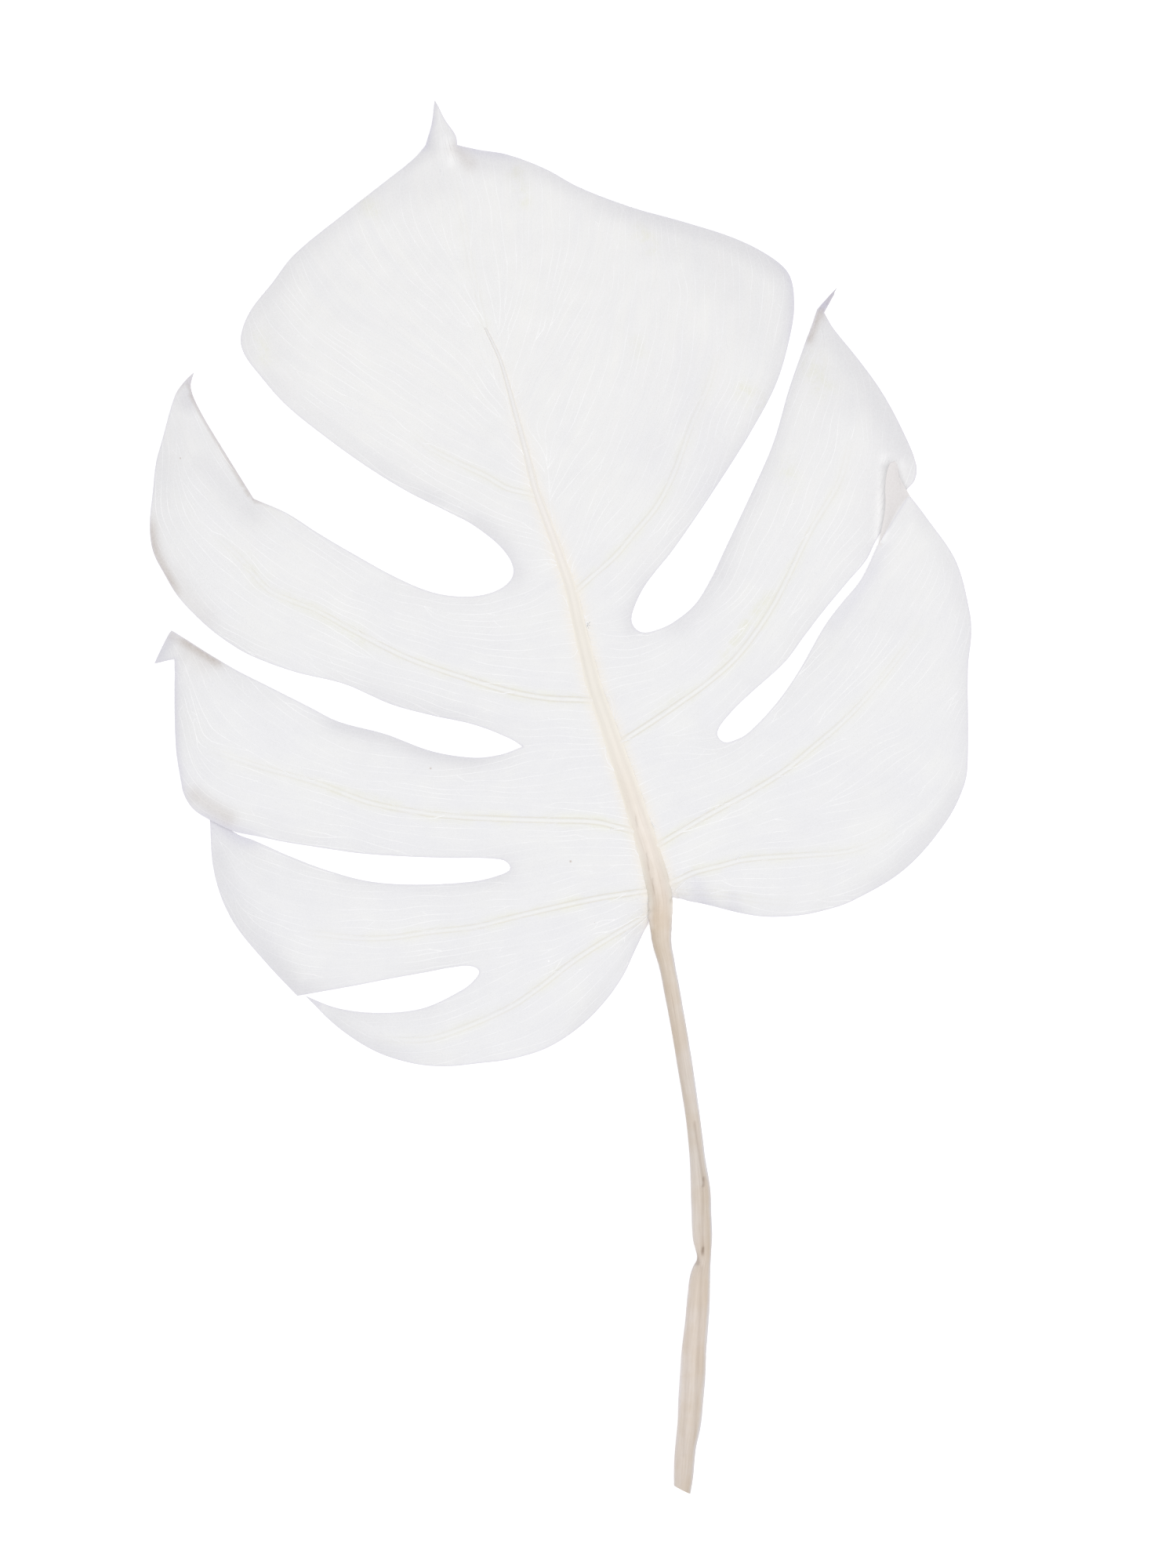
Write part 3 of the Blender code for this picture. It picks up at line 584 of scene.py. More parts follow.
# %% [markdown]
# ## The blade
#
# A sheet with a cut edge could be a filled curve, or a grid trimmed by a Boolean. Both give triangles that
# run across the veins and break their ridges up. Blender's own Delaunay triangulation takes the edge and the
# lines beside each vein as lines to keep, and fills what is left from an even field of points, so each
# ridge stays crisp. The flat sheet is then raised by the formula.

# %% Flat sheet
GRID_STEP = 1.3
ROW_STEP = GRID_STEP * math.sin(math.radians(60))
CLEAR_OF_LINES = 0.62
VEIN_LINE_SHARES = (-1.0, -0.5, 0.0, 0.5, 1.0)
INSIDE_THE_RIM = 1
SAME_POINT = 1e-4


def beside(line, offsets):
    """A line beside the given one, to its left by the offset at each point."""
    moved = []
    for i, point in enumerate(line):
        run = (line[min(i + 1, len(line) - 1)] - line[max(i - 1, 0)]).normalized()
        moved.append(point + Vector((-run.y, run.x)) * offsets[i])
    return moved


def kept_lines():
    """Lines that the triangles follow: each vein with its sides, and the creases."""
    lines = []
    for line, _ in VEINS:
        middle = smooth_line(line, VEIN_STEP)
        last = len(middle) - 1
        widths = [VEIN_HALF_WIDTH * (1 - (1 - VEIN_END_SHARE) * i / last) for i in range(last + 1)]
        for share in VEIN_LINE_SHARES:
            lines.append(beside(middle, [width * share for width in widths]))
    for start, end, *_ in CREASES:
        lines.append(smooth_line([start, end], GRID_STEP)[1:-1])
    return lines


def flat_sheet():
    """Points and triangles of the flat blade."""
    points = margin_loop(MARGIN_STEP)
    rim = list(range(len(points)))
    edges = []
    for line in kept_lines():
        first = len(points)
        points += line
        edges += [(i, i + 1) for i in range(first, len(points) - 1)]
    corners = np.array([tuple(point) for point in points])
    low = corners.min(axis=0)
    high = corners.max(axis=0)
    across, up = np.meshgrid(np.arange(low[0], high[0], GRID_STEP), np.arange(low[1], high[1], ROW_STEP))
    across[1::2] += GRID_STEP / 2
    even = np.column_stack([across.ravel(), up.ravel()])
    clear = nearest(tree_of(points), even)[1] > CLEAR_OF_LINES * GRID_STEP
    points += [Vector(spot) for spot in even[clear]]
    made = geometry.delaunay_2d_cdt(points, edges, [rim], INSIDE_THE_RIM, SAME_POINT)
    return made[0], made[2]


flat_points, flat_triangles = flat_sheet()
print(len(flat_triangles), "triangles in the flat sheet")

# %% [markdown]
# What only the eye sees is kept as numbers on the points of the sheet, so that the finish can follow the
# leaf and not a straight grid: how far a point is from the edge, a vein and the midrib, and where the sheet
# is greyer or browner. On the real leaf light comes through the blade, so a doubled or steep place looks
# darker. Here that darkness is painted shade, laid on as soft strokes of grey, lilac and part of the brown.
# Pale strokes paint light, and cream ones a tint. Each stroke has two ends, a reach, a depth from the edge
# and a strength.

# %% Marks that follow the leaf
STROKES = {}
# Grey strokes are painted shade on steep, rolled and overhung places of the sheet.
STROKES["painted_grey_shade"] = [
    ((16, 192), (74, 169), 10, 7, 0.5), ((50, 172), (60, 152), 11, 40, 0.2),
    ((34, 178), (44, 176), 7, 40, 0.2), ((74, 169), (71, 142), 8, 5, 0.3),
    ((-84, 174), (-101, 147), 8, 6, 0.3), ((-94, 154), (-90, 142), 5, 40, 0.15),
    ((-90, 136), (-40, 97), 5, 4.5, 0.3), ((-26, 87), (-18, 82), 5, 5, 0.35),
    ((-84, 174), (-43, 207), 8, 5, 0.32), ((-50, 203), (-43, 207), 5, 5, 0.6),
    ((-60, 192), (-40, 195), 8, 40, 0.2), ((-32, 206), (16, 192), 8, 4.5, 0.45),
    ((-27, 203), (-14, 199), 6, 8, 0.45), ((-42.5, 209), (-40.5, 221), 1.6, 30, 0.4),
    ((-15, 72), (-19, 80), 5, 5, 0.35), ((-60, 33), (-35, 24), 6, 5, 0.2),
    ((-71, 21.6), (-29, 13), 7, 3.5, 0.5), ((-122.5, 36), (-119.5, -1), 5, 2.2, 0.22),
    ((-129, 43), (-125, 50), 2.6, 30, 0.4), ((-117, 135), (-119, 126), 4, 30, 0.6),
    ((-121, 120), (-126, 104), 8, 40, 0.16), ((-115, 106), (-98, 90), 5, 40, 0.25),
    ((-106, -21), (-84, -61), 8, 6, 0.5), ((-66, -26), (-19, -24.6), 6, 2.6, 0.25),
    ((-71, -71), (-54, -81), 8, 5, 0.35), ((24, -46), (9, -70), 7, 6, 0.12),
    ((38, -32.8), (53, -37), 6, 2.4, 0.35), ((128, 2), (104, -25), 7, 5, 0.28),
    ((114, 89), (131, 47), 7, 3.5, 0.25), ((131, 47), (130, 4), 7, 3.5, 0.2),
    ((76, 144), (46, 69), 8, 3.6, 0.35), ((50, 75), (53, 68), 6, 6, 0.3), ((38, 55), (47, 66), 6, 5, 0.3),
    ((23, 57), (28, 66), 5, 4, 0.35), ((88, 147), (108, 113), 9, 12, 0.42),
    ((84, 150), (94, 128), 9, 40, 0.22), ((84, 154), (88, 144), 5, 30, 0.4),
]
# Lilac strokes are painted shade: the dark upper right tip, the strip under the lobe above and the shaded
# side of the cusp.
STROKES["painted_lilac_shade"] = [
    ((83.5, 157), (88.5, 163), 2.2, 30, 1.0), ((106, 77), (90, 54), 4, 3, 0.4),
    ((-113, -8), (-100, -13.5), 4, 3, 0.35), ((-29, 206), (-19, 203.5), 5, 1.8, 0.3),
    ((-43.5, 208), (-41.5, 216), 1.6, 2, 0.5), ((-130, 42), (-125, 50), 3, 3, 0.2),
    ((74, 169), (76, 150), 6, 1.4, 0.3), ((-124, 40), (-124, 4), 5, 1.2, 0.3),
    ((43.5, -27.5), (45.5, -34), 3, 30, 0.2), ((55, -32), (56, -37), 2.5, 30, 0.15),
    ((38, 140), (46, 112), 9, 40, 0.12), ((30, 112), (44, 100), 8, 40, 0.08),
]
# Pale strokes are painted light, where the flap's shadow falls beside it and on the lit side of the cusp.
STROKES["pale_lumps_and_painted_light"] = [
    ((102, 83), (103, 103), 1.8, 30, 0.8), ((103.5, 107.5), (107.5, 105.5), 2.0, 30, 0.7),
    ((-36, 209), (-34.5, 203), 2.0, 30, 0.6),
]
STROKES["cream"] = [
    ((-62, 190), (-60, 188), 3, 40, 0.5), ((-96, 147), (-94, 140), 2.5, 40, 0.4),
    ((-14, 200), (-12, 190), 2.5, 40, 0.5), ((25, 180), (29, 176), 2.5, 40, 0.6),
    ((24, 145), (26, 141), 2.5, 40, 0.6), ((58, 130), (65, 124), 3, 40, 0.5),
    ((80, 139), (84, 132), 4, 40, 0.5), ((72, 106), (73, 100), 3, 40, 0.4),
    ((-92, 95), (-86, 91), 2.5, 40, 0.6), ((-100, 74), (-96, 69), 3, 40, 0.4),
    ((-86, 64), (-62, 49), 1.8, 40, 0.5), ((-76, 3), (-52, -3), 1.6, 40, 0.6),
    ((52, 46), (67, 64), 1.8, 40, 0.7), ((30, 27), (40, 34), 1.4, 40, 0.4),
]
# Brown strokes are partly the leaf's own brown tips and margins, partly painted shade in rolled edges,
# hollows and doubled layers.
STROKES["brown_and_painted_shade"] = [
    ((-131, 84), (-124, 68), 5, 2.4, 0.55), ((-118, 130.6), (-98, 95), 4, 0.6, 0.6),
    ((-119.5, 49), (-110.5, 43.5), 3, 3.2, 0.6), ((-118, 46.5), (-114, 43), 4, 40, 0.15),
    ((-116, 0.5), (-106, -6.3), 3, 8, 0.32), ((85, 158.5), (88.5, 163), 2, 30, 0.4),
    ((83, 155), (79.5, 146), 1.8, 2.5, 0.5), ((-34, 207), (-29, 202), 2.5, 30, 0.2),
    ((-124, 52), (-120, 49.5), 2, 30, 0.25), ((-124, 70), (-114, 58), 5, 8, 0.12),
]


def strokes(spots, names):
    """How strong the soft strokes of each name are at each spot, from 0 to 1."""
    edge = nearest(margin_tree, spots)[1]
    marks = {}
    for name in names:
        marks[name] = np.zeros(len(spots))
        for start, end, reach, depth, strength in STROKES[name]:
            share = bell(from_line(spots, start, end)[1], reach) * bell(edge, depth)
            marks[name] = np.maximum(marks[name], strength * share)
    return marks


def smooth_values(at, keys, values):
    """Values at the given places, on a smooth curve through the ones at the keys."""
    slopes = np.gradient(values, keys)
    i = np.clip(np.searchsorted(keys, at) - 1, 0, len(keys) - 2)
    span = keys[i + 1] - keys[i]
    t = np.clip((at - keys[i]) / span, 0, 1)
    start = (1 + 2 * t) * (1 - t) ** 2 * values[i] + t * (1 - t) ** 2 * span * slopes[i]
    return start + t**2 * (3 - 2 * t) * values[i + 1] + t**2 * (t - 1) * span * slopes[i + 1]


stalk_across, stalk_keys, stalk_widths, stalk_heights = np.array(
    [(*place, width, height) for place, width, height in reversed(STALK)], float).T


def from_midrib(spots):
    """Distance from the midrib's side, in millimetres, and 0 under it."""
    up = np.clip(spots[:, 1], stalk_keys[0], stalk_keys[-1])
    middle = smooth_values(up, stalk_keys, stalk_across)
    half = smooth_values(up, stalk_keys, stalk_widths) / 2
    return np.maximum(0, np.hypot(spots[:, 0] - middle, spots[:, 1] - up) - half)


def marks_at(spots):
    """All the numbers that the finish of the blade reads."""
    index, to_vein = nearest(vein_tree, spots)
    return {
        "to_margin": nearest(margin_tree, spots)[1],
        "to_vein": to_vein,
        "vein_strength": vein_heights[index] / vein_heights.max(),
        "to_midrib": from_midrib(spots),
        "streak": streaks(spots),
        "painted_flap_shade": np.zeros(len(spots)),
        **strokes(spots, STROKES),
    }


def keep_marks(mesh, marks):
    for name, values in marks.items():
        mesh.attributes.new(name, "FLOAT", "POINT").data.foreach_set("value", values.astype(np.float32))


print(sum(map(len, STROKES.values())), "soft strokes")

# %% [markdown]
# The lower right lobe has a small flap that stands up over the lobe beside it. It grows from a straight
# hinge on the edge, so it is extruded from the edge's own segments, row by row, up a slope and in to a
# pointed outline.

# %% Flap
FLAP_FREE_SIDE = [(101.5, 81), (103.5, 92), (103.5, 101.5), (106, 107), (107.5, 102), (111, 96.5)]
FLAP_SLOPE = 0.42
FLAP_BOW = 0.6
FLAP_ROWS = 9
# The flap is marked all over for the painted shade of its doubled layer.
FLAP_MARKS = {"painted_flap_shade": 1.0, "to_margin": 3.0, **dict.fromkeys(STROKES, 0.0)}
WELD = 0.02


def flap_edges(sheet):
    """The edge segments along the hinge of the flap."""
    found = []
    for edge in sheet.edges:
        if not edge.is_boundary:
            continue
        middle = (edge.verts[0].co.xy + edge.verts[1].co.xy) / 2 / MM
        share, distance, _ = from_line(np.array([middle[:]]), *FLAP_HINGE)
        if distance[0] < WELD and 0 < share[0] < 1:
            found.append(edge)
    return found


def raise_flap(sheet):
    """Extrudes the flap from its hinge, row by row."""
    free_side = smooth_line(FLAP_FREE_SIDE, MEASURE_STEP)
    marks = {name: sheet.verts.layers.float[name] for name in FLAP_MARKS}
    edges = flap_edges(sheet)
    roots = {}
    for vert in {vert for edge in edges for vert in edge.verts}:
        share = from_line(np.array([vert.co.xy[:]]) / MM, *FLAP_HINGE)[0][0]
        roots[vert] = (share, vert.co.copy())
    for row in range(1, FLAP_ROWS + 1):
        made = bmesh.ops.extrude_edge_only(sheet, edges=edges)["geom"]
        moved = {}
        for vert in made:
            if isinstance(vert, bmesh.types.BMVert):
                moved[vert] = roots[min(roots, key=lambda old: (old.co - vert.co).length)]
        for vert, (share, root) in moved.items():
            free = free_side[round(share * (len(free_side) - 1))] * MM
            part = row / FLAP_ROWS
            run = (free - root.xy) * part
            bow = FLAP_BOW * MM * math.sin(part * math.pi) * math.sin(share * math.pi)
            vert.co = Vector((root.x + run.x, root.y + run.y, root.z + FLAP_SLOPE * run.length + bow))
            for name, value in FLAP_MARKS.items():
                vert[marks[name]] = value
        edges = [item for item in made if isinstance(item, bmesh.types.BMEdge)]
        edges = [edge for edge in edges if edge.verts[0] in moved and edge.verts[1] in moved]
        roots = moved


print("the flap stands up in", FLAP_ROWS, "rows")

# %% [markdown]
# Now the flat sheet is raised and the flap pulled up from it. The sheet gets its thickness from Solidify,
# upwards only, because its lower face is the one that lies on the table. The corners round its edge are kept
# crisp, or the shading of the upper face would be pulled down over them.

# %% Raise the blade
SHARP = 50


def raised_blade():
    used = sorted({i for triangle in flat_triangles for i in triangle})
    place = {old: new for new, old in enumerate(used)}
    spots = np.array([tuple(flat_points[i]) for i in used])
    heights = sheet_height(spots) + ridge_height(spots)
    raised = np.column_stack([slid(spots), heights]) * MM
    mesh = bpy.data.meshes.new("leaf_sheet")
    mesh.from_pydata(raised.tolist(), [], [[place[i] for i in triangle] for triangle in flat_triangles])
    keep_marks(mesh, marks_at(spots))
    sheet = bmesh.new()
    sheet.from_mesh(mesh)
    bmesh.ops.recalc_face_normals(sheet, faces=sheet.faces)
    if sum(face.normal.z for face in sheet.faces) < 0:
        bmesh.ops.reverse_faces(sheet, faces=sheet.faces)
    raise_flap(sheet)
    bmesh.ops.remove_doubles(sheet, verts=sheet.verts, dist=WELD * MM)
    sheet.to_mesh(mesh)
    sheet.free()
    mesh.shade_smooth()
    return mesh


def show(name, mesh):
    """Puts a finished mesh in the scene, unmoved, and lets it ride on the leaf's only body."""
    piece = bpy.data.objects.new(name, mesh)
    scene.collection.objects.link(piece)
    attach(piece, "root")
    return piece


def worked_out(data, thickness=0):
    """The mesh of a curve, or of a sheet that Solidify thickens upwards."""
    holder = bpy.data.objects.new("holder", data)
    scene.collection.objects.link(holder)
    if thickness:
        solidify = holder.modifiers.new("thickness", "SOLIDIFY")
        solidify.thickness = thickness
        solidify.offset = 1
    mesh = bpy.data.meshes.new_from_object(holder.evaluated_get(bpy.context.evaluated_depsgraph_get()))
    bpy.data.objects.remove(holder)
    return mesh


blade = show("bleached_leaf", worked_out(raised_blade(), BLADE_THICKNESS * MM))
blade.data.set_sharp_from_angle(angle=math.radians(SHARP))
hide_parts("leaf_blade")
print("blade:", len(blade.data.polygons), "faces")

# %% [markdown]
# ## Fine veins
#
# The fine veins could be stripes in the finish, but stripes keep one spacing and never branch. Here they are
# grown, which needs two answers at any place: which way the leaf grows there, and which veins are near. A
# table of small square cells holds the dots of the veins so far, so that only near ones are compared.

# %% Directions and room
EDGE_GAP = 0.5
CELL = 2.6

cells = {}
edge_sign = math.copysign(1, sum(margin[i - 1].cross(margin[i]) for i in range(len(margin))))


def heading(x, y):
    """Direction of growth at a place, between the four nearest points of the field."""
    across = (x - field_low[0]) / FIELD_STEP
    up = (y - field_low[1]) / FIELD_STEP
    i = int(across)
    j = int(up)
    s = across - i
    t = up - j
    mean = (field[i, j] * (1 - s) + field[i + 1, j] * s) * (1 - t)
    mean = mean + (field[i, j + 1] * (1 - s) + field[i + 1, j + 1] * s) * t
    size = math.hypot(mean[0], mean[1])
    return mean[0] / size, mean[1] / size


def keep(line, number):
    for x, y in line:
        cells.setdefault((int(x // CELL), int(y // CELL)), []).append((x, y, number))


def others(x, y, reach, own):
    """Dots of other veins within reach of a place."""
    i = int(x // CELL)
    j = int(y // CELL)
    found = []
    for key in [(i + a, j + b) for a in (-1, 0, 1) for b in (-1, 0, 1)]:
        for dot in cells.get(key, ()):
            if dot[2] != own and math.hypot(dot[0] - x, dot[1] - y) < reach:
                found.append(dot)
    return found


def on_blade(x, y):
    """Whether a place is on the blade and clear of its edge."""
    _, i, distance = margin_tree.find((x, y, 0))
    run = margin[(i + 1) % len(margin)] - margin[i - 1]
    return distance > EDGE_GAP and edge_sign * run.cross(Vector((x, y)) - margin[i]) > 0


print("growth at the middle of the top lobe:", [round(float(part), 2) for part in heading(0.0, 150.0)])

# %% [markdown]
# A vein starts beside an older one, a set distance away, and follows the directions both ways, with a slight
# wander, until it reaches the edge or comes too near another vein. Then it bends into that one, which makes
# the forks that a real leaf has. A second, thinner set fills the gaps. Random numbers come from one seeded
# source, so each run grows the same leaf.

# %% Grow the fine veins
GROWTH_STEP = 0.8
STOP_SHARE = 0.5
JOIN_REACH = 1.5
SHORTEST = 5.0
LONGEST = 260
ROOM_SHARE = 0.98
MAIN_SPACING = 2.7
THIN_SPACING = 1.2
LOOSEST = 2.1
WANDER_MAIN = (0.32, 11.0)
WANDER_THIN = (0.5, 6.0)
VEIN_SEED = 7

chance = random.Random(VEIN_SEED)


def wandered(ahead, x, y, wander):
    """The direction turned a little, by an angle that drifts from place to place."""
    angle = wander[0] * noise.noise(Vector((x / wander[1], y / wander[1], wander[1])))
    return (ahead[0] * math.cos(angle) - ahead[1] * math.sin(angle),
            ahead[0] * math.sin(angle) + ahead[1] * math.cos(angle))


def grow(x, y, way, spacing):
    """One way out from a seed, to the edge or into another vein."""
    line = []
    wander = WANDER_MAIN if spacing == MAIN_SPACING else WANDER_THIN
    while len(line) < LONGEST / GROWTH_STEP:
        ahead = wandered(heading(x, y), x, y, wander)
        x += ahead[0] * way * GROWTH_STEP
        y += ahead[1] * way * GROWTH_STEP
        if margin_tree.find((x, y, 0))[2] < EDGE_GAP:
            line.append((x, y))
            break
        if others(x, y, spacing * STOP_SHARE, None):
            dots = others(x, y, spacing * JOIN_REACH, None)
            onward = [((dot[0] - x) * ahead[0] + (dot[1] - y) * ahead[1]) * way for dot in dots]
            line += [(x, y), dots[onward.index(max(onward))][:2]]
            break
        line.append((x, y))
    return line


def length_of(line):
    return sum(math.dist(line[i], line[i + 1]) for i in range(len(line) - 1))


def grow_set(first, spacing, number):
    """Grows veins beside the ones there are, until no seed has room."""
    grown = []
    queue = list(first)
    while queue:
        line = queue.pop(0)
        for i in range(0, len(line) - 1, 2):
            run = math.dist(line[i], line[i + 1]) or 1
            across = ((line[i][1] - line[i + 1][1]) / run, (line[i + 1][0] - line[i][0]) / run)
            for side in (-1, 1):
                gap = spacing * chance.uniform(1.0, LOOSEST) * side
                x = line[i][0] + across[0] * gap
                y = line[i][1] + across[1] * gap
                if not on_blade(x, y) or others(x, y, spacing * ROOM_SHARE, None):
                    continue
                whole = grow(x, y, -1, spacing)[::-1] + [(x, y)] + grow(x, y, 1, spacing)
                if length_of(whole) < SHORTEST:
                    continue
                keep(whole, number + len(grown))
                grown.append(whole)
                queue.append(whole)
    return grown


midrib_line = [place for place, _, _ in STALK if place[1] > LEAF_BASE[1]]
old_lines = [[tuple(dot) for dot in smooth_line(line, GROWTH_STEP)] for line, _ in VEINS]
old_lines.append([tuple(dot) for dot in smooth_line(midrib_line, GROWTH_STEP)])
for line in old_lines:
    keep(line, -1)
run_on = []
for line in old_lines[:-1]:
    end = [line[-1]] + grow(*line[-1], 1, GROWTH_STEP / 2)
    keep(end[2:], -2)
    run_on.append(end)
main_veins = run_on + grow_set(old_lines + run_on, MAIN_SPACING, 0)
thin_veins = grow_set(old_lines + main_veins, THIN_SPACING, len(main_veins))
print(len(main_veins), "main veins,", len(thin_veins), "thin ones,",
      round(sum(length_of(line) for line in main_veins + thin_veins)), "mm in all")

# %% [markdown]
# The veins are tied together in two ways. Long slanting ties leave a main vein at a small angle and run into
# the next one. Short links stand almost square to the veins, mostly near the edge, where they make a net.
# Neither is laid near a lateral vein, whose ridge is too steep for them, nor beside the midrib.

# %% Tie the veins together
TIE_ODDS = 0.04
INNER_TIE_ODDS = 0.004
TIE_TURN = (0.25, 0.6)
LONGEST_TIE = 12.0
LINK_BAND = 15.0
LINK_ODDS = 0.12
INNER_LINK_ODDS = 0.02
LINK_TURN = (0.8, 1.5)
LONGEST_LINK = 3.2
LINK_STEP = 0.35
LINK_REACH = 0.45
LINK_SKIP = 4
CLEAR_OF_RIDGE = 2.2
CLEAR_OF_MIDRIB = 14.0


def link_from(line, number, i, turns, longest):
    """A tie from one dot of a vein to the next vein, or nothing where none is near."""
    x, y = line[i]
    turn = chance.choice((-1, 1)) * chance.uniform(*turns)
    way = chance.choice((-1, 1)) if turns is LINK_TURN else 1
    path = [(x, y)]
    for step in range(int(longest / LINK_STEP)):
        ahead = heading(x, y)
        x += way * LINK_STEP * (ahead[0] * math.cos(turn) - ahead[1] * math.sin(turn))
        y += way * LINK_STEP * (ahead[0] * math.sin(turn) + ahead[1] * math.cos(turn))
        if not on_blade(x, y) or vein_tree.find((x, y, 0))[2] < CLEAR_OF_RIDGE:
            return None
        dots = others(x, y, LINK_REACH, number) if step else []
        if dots:
            return path[::LINK_SKIP] + [dots[0][:2]]
        path.append((x, y))
    return None


def tie_all(lines, band_odds, inner_odds, turns, longest):
    made = []
    for number, line in enumerate(lines):
        for i in range(1, len(line) - 1):
            near_edge = margin_tree.find((*line[i], 0))[2] < LINK_BAND
            if not near_edge and from_midrib(np.array([line[i]]))[0] < CLEAR_OF_MIDRIB:
                continue
            if chance.random() < (band_odds if near_edge else inner_odds):
                made.append(link_from(line, number, i, turns, longest))
    return [link for link in made if link]


ties = tie_all(main_veins, TIE_ODDS, INNER_TIE_ODDS, TIE_TURN, LONGEST_TIE)
links = tie_all(main_veins + thin_veins, LINK_ODDS, INNER_LINK_ODDS, LINK_TURN, LONGEST_LINK)
print(len(ties), "ties and", len(links), "links")

# %% [markdown]
# The veins are laid on the upper face of the blade as threads, partly sunk in. Each is a curve with a low
# three-sided profile, wide and hardly raised, because a round one would look like wire. Each point has its
# own radius, so a vein tapers to its end. The curves are turned into meshes once they are right, since they
# need no more changes.

# %% Lay the veins on the blade
SLOPE_STEP = 0.2
THREAD_SKIP = 2
PROFILE = [(0.0, 0.3), (1.0, -0.25), (-1.0, -0.25)]
MAIN_RADIUS = (0.17, 0.13)
THIN_RADIUS = (0.12, 0.09)
LINK_RADIUS = (0.1, 0.08)
# marks of painted shade that the threads copy from the sheet
THREAD_MARKS = ("painted_grey_shade", "painted_lilac_shade", "brown_and_painted_shade")


def on_top(spots):
    """Places on the upper face of the blade above these flat ones."""
    def lower(moved):
        return sheet_height(moved) + ridge_height(moved)
    here = lower(spots)
    rise_x = (lower(spots + (SLOPE_STEP, 0)) - here) / SLOPE_STEP
    rise_y = (lower(spots + (0, SLOPE_STEP)) - here) / SLOPE_STEP
    normal = np.column_stack([-rise_x, -rise_y, np.ones(len(spots))])
    normal /= np.linalg.norm(normal, axis=1)[:, None]
    return np.column_stack([slid(spots), here]) + normal * BLADE_THICKNESS


def low_profile():
    """The outline of a thread, for a radius of one millimetre."""
    outline = bpy.data.curves.new("thread_profile", "CURVE")
    outline.dimensions = "2D"
    spline = outline.splines.new("POLY")
    spline.points.add(len(PROFILE) - 1)
    for point, (across, up) in zip(spline.points, PROFILE):
        point.co = (across * MM, up * MM, 0, 1)
    spline.use_cyclic_u = True
    return bpy.data.objects.new("thread_profile", outline)


def threads(name, lines, radius, skip):
    """One mesh of tapering threads along the lines."""
    kept = [line[:-1:skip] + [line[-1]] for line in lines]
    places = on_top(np.array([dot for line in kept for dot in line])) * MM
    curve = bpy.data.curves.new(name, "CURVE")
    curve.dimensions = "3D"
    curve.twist_mode = "Z_UP"
    curve.bevel_mode = "OBJECT"
    curve.bevel_object = profile
    curve.use_fill_caps = True
    first = 0
    for line in kept:
        count = len(line)
        spline = curve.splines.new("POLY")
        spline.points.add(count - 1)
        points = np.column_stack([places[first:first + count], np.ones(count)])
        spline.points.foreach_set("co", points.ravel().astype(np.float32))
        spline.points.foreach_set("radius", np.linspace(*radius, count).astype(np.float32))
        first += count
    mesh = worked_out(curve)
    mesh.shade_flat()
    keep_marks(mesh, strokes(np.array([vert.co[:2] for vert in mesh.vertices]) / MM, THREAD_MARKS))
    piece = show(name, mesh)
    print(name, len(mesh.polygons), "faces")
    return piece


profile = low_profile()
scene.collection.objects.link(profile)
main_threads = threads("main_fine_veins", main_veins, MAIN_RADIUS, THREAD_SKIP)
thin_threads = threads("thin_fine_veins", thin_veins, THIN_RADIUS, THREAD_SKIP)
tie_threads = threads("slanting_ties", ties, MAIN_RADIUS[::-1], 1)
link_threads = threads("vein_links", links, LINK_RADIUS, 1)
bpy.data.objects.remove(profile)

# %% [markdown]
# ## The stalk and the midrib
#
# The stalk is a bent, flat-bottomed rod that becomes a ridge where it runs on over the blade. A beveled
# curve would make it too even. It is a flat grid instead, rolled up into a tube: the grid gives clean
# lengthwise and crosswise rows, and its texture coordinates stay straight along the fibres. Where the ridge
# lies on the leaf, only its upper half shows, and its foot is sunk into the blade. The formulas work on whole
# arrays: y is the place along the stalk, and side and up say where a point is round it, from -1 to 1.

# %% Form of the stalk
FLAT_BELOW = -0.8
FRAME_LIFT = 1.0
LEAVES_BLADE = (-33.0, -43.0)
LIES_DOWN = (-42.0, -78.0)
RIDGE_SINK = 0.25
RIDGE_FULLNESS = 3.0
RIDGE_SHARE = 0.8
RIDGE_RISES = (-12.0, -40.0)
ACROSS_THE_FOOT = (-0.5, -0.25, 0.0, 0.25, 0.5)


def smooth_step(value, start, end):
    t = np.clip((value - start) / (end - start), 0, 1)
    return t * t * (3 - 2 * t)


def stalk_rows(y):
    """Middle, lean, width and height of the stalk at each y, and the blade's height under it."""
    middle = smooth_values(y, stalk_keys, stalk_across)
    lean = (smooth_values(y + SLOPE_STEP, stalk_keys, stalk_across) - middle) / SLOPE_STEP
    width = smooth_values(y, stalk_keys, stalk_widths)
    height = smooth_values(y, stalk_keys, stalk_heights)
    on_leaf = np.maximum(y, LEAF_BASE[1])
    under = [sheet_height(np.column_stack([middle + share * width, on_leaf])) for share in ACROSS_THE_FOOT]
    return middle, lean, width, height, np.max(under, axis=0)


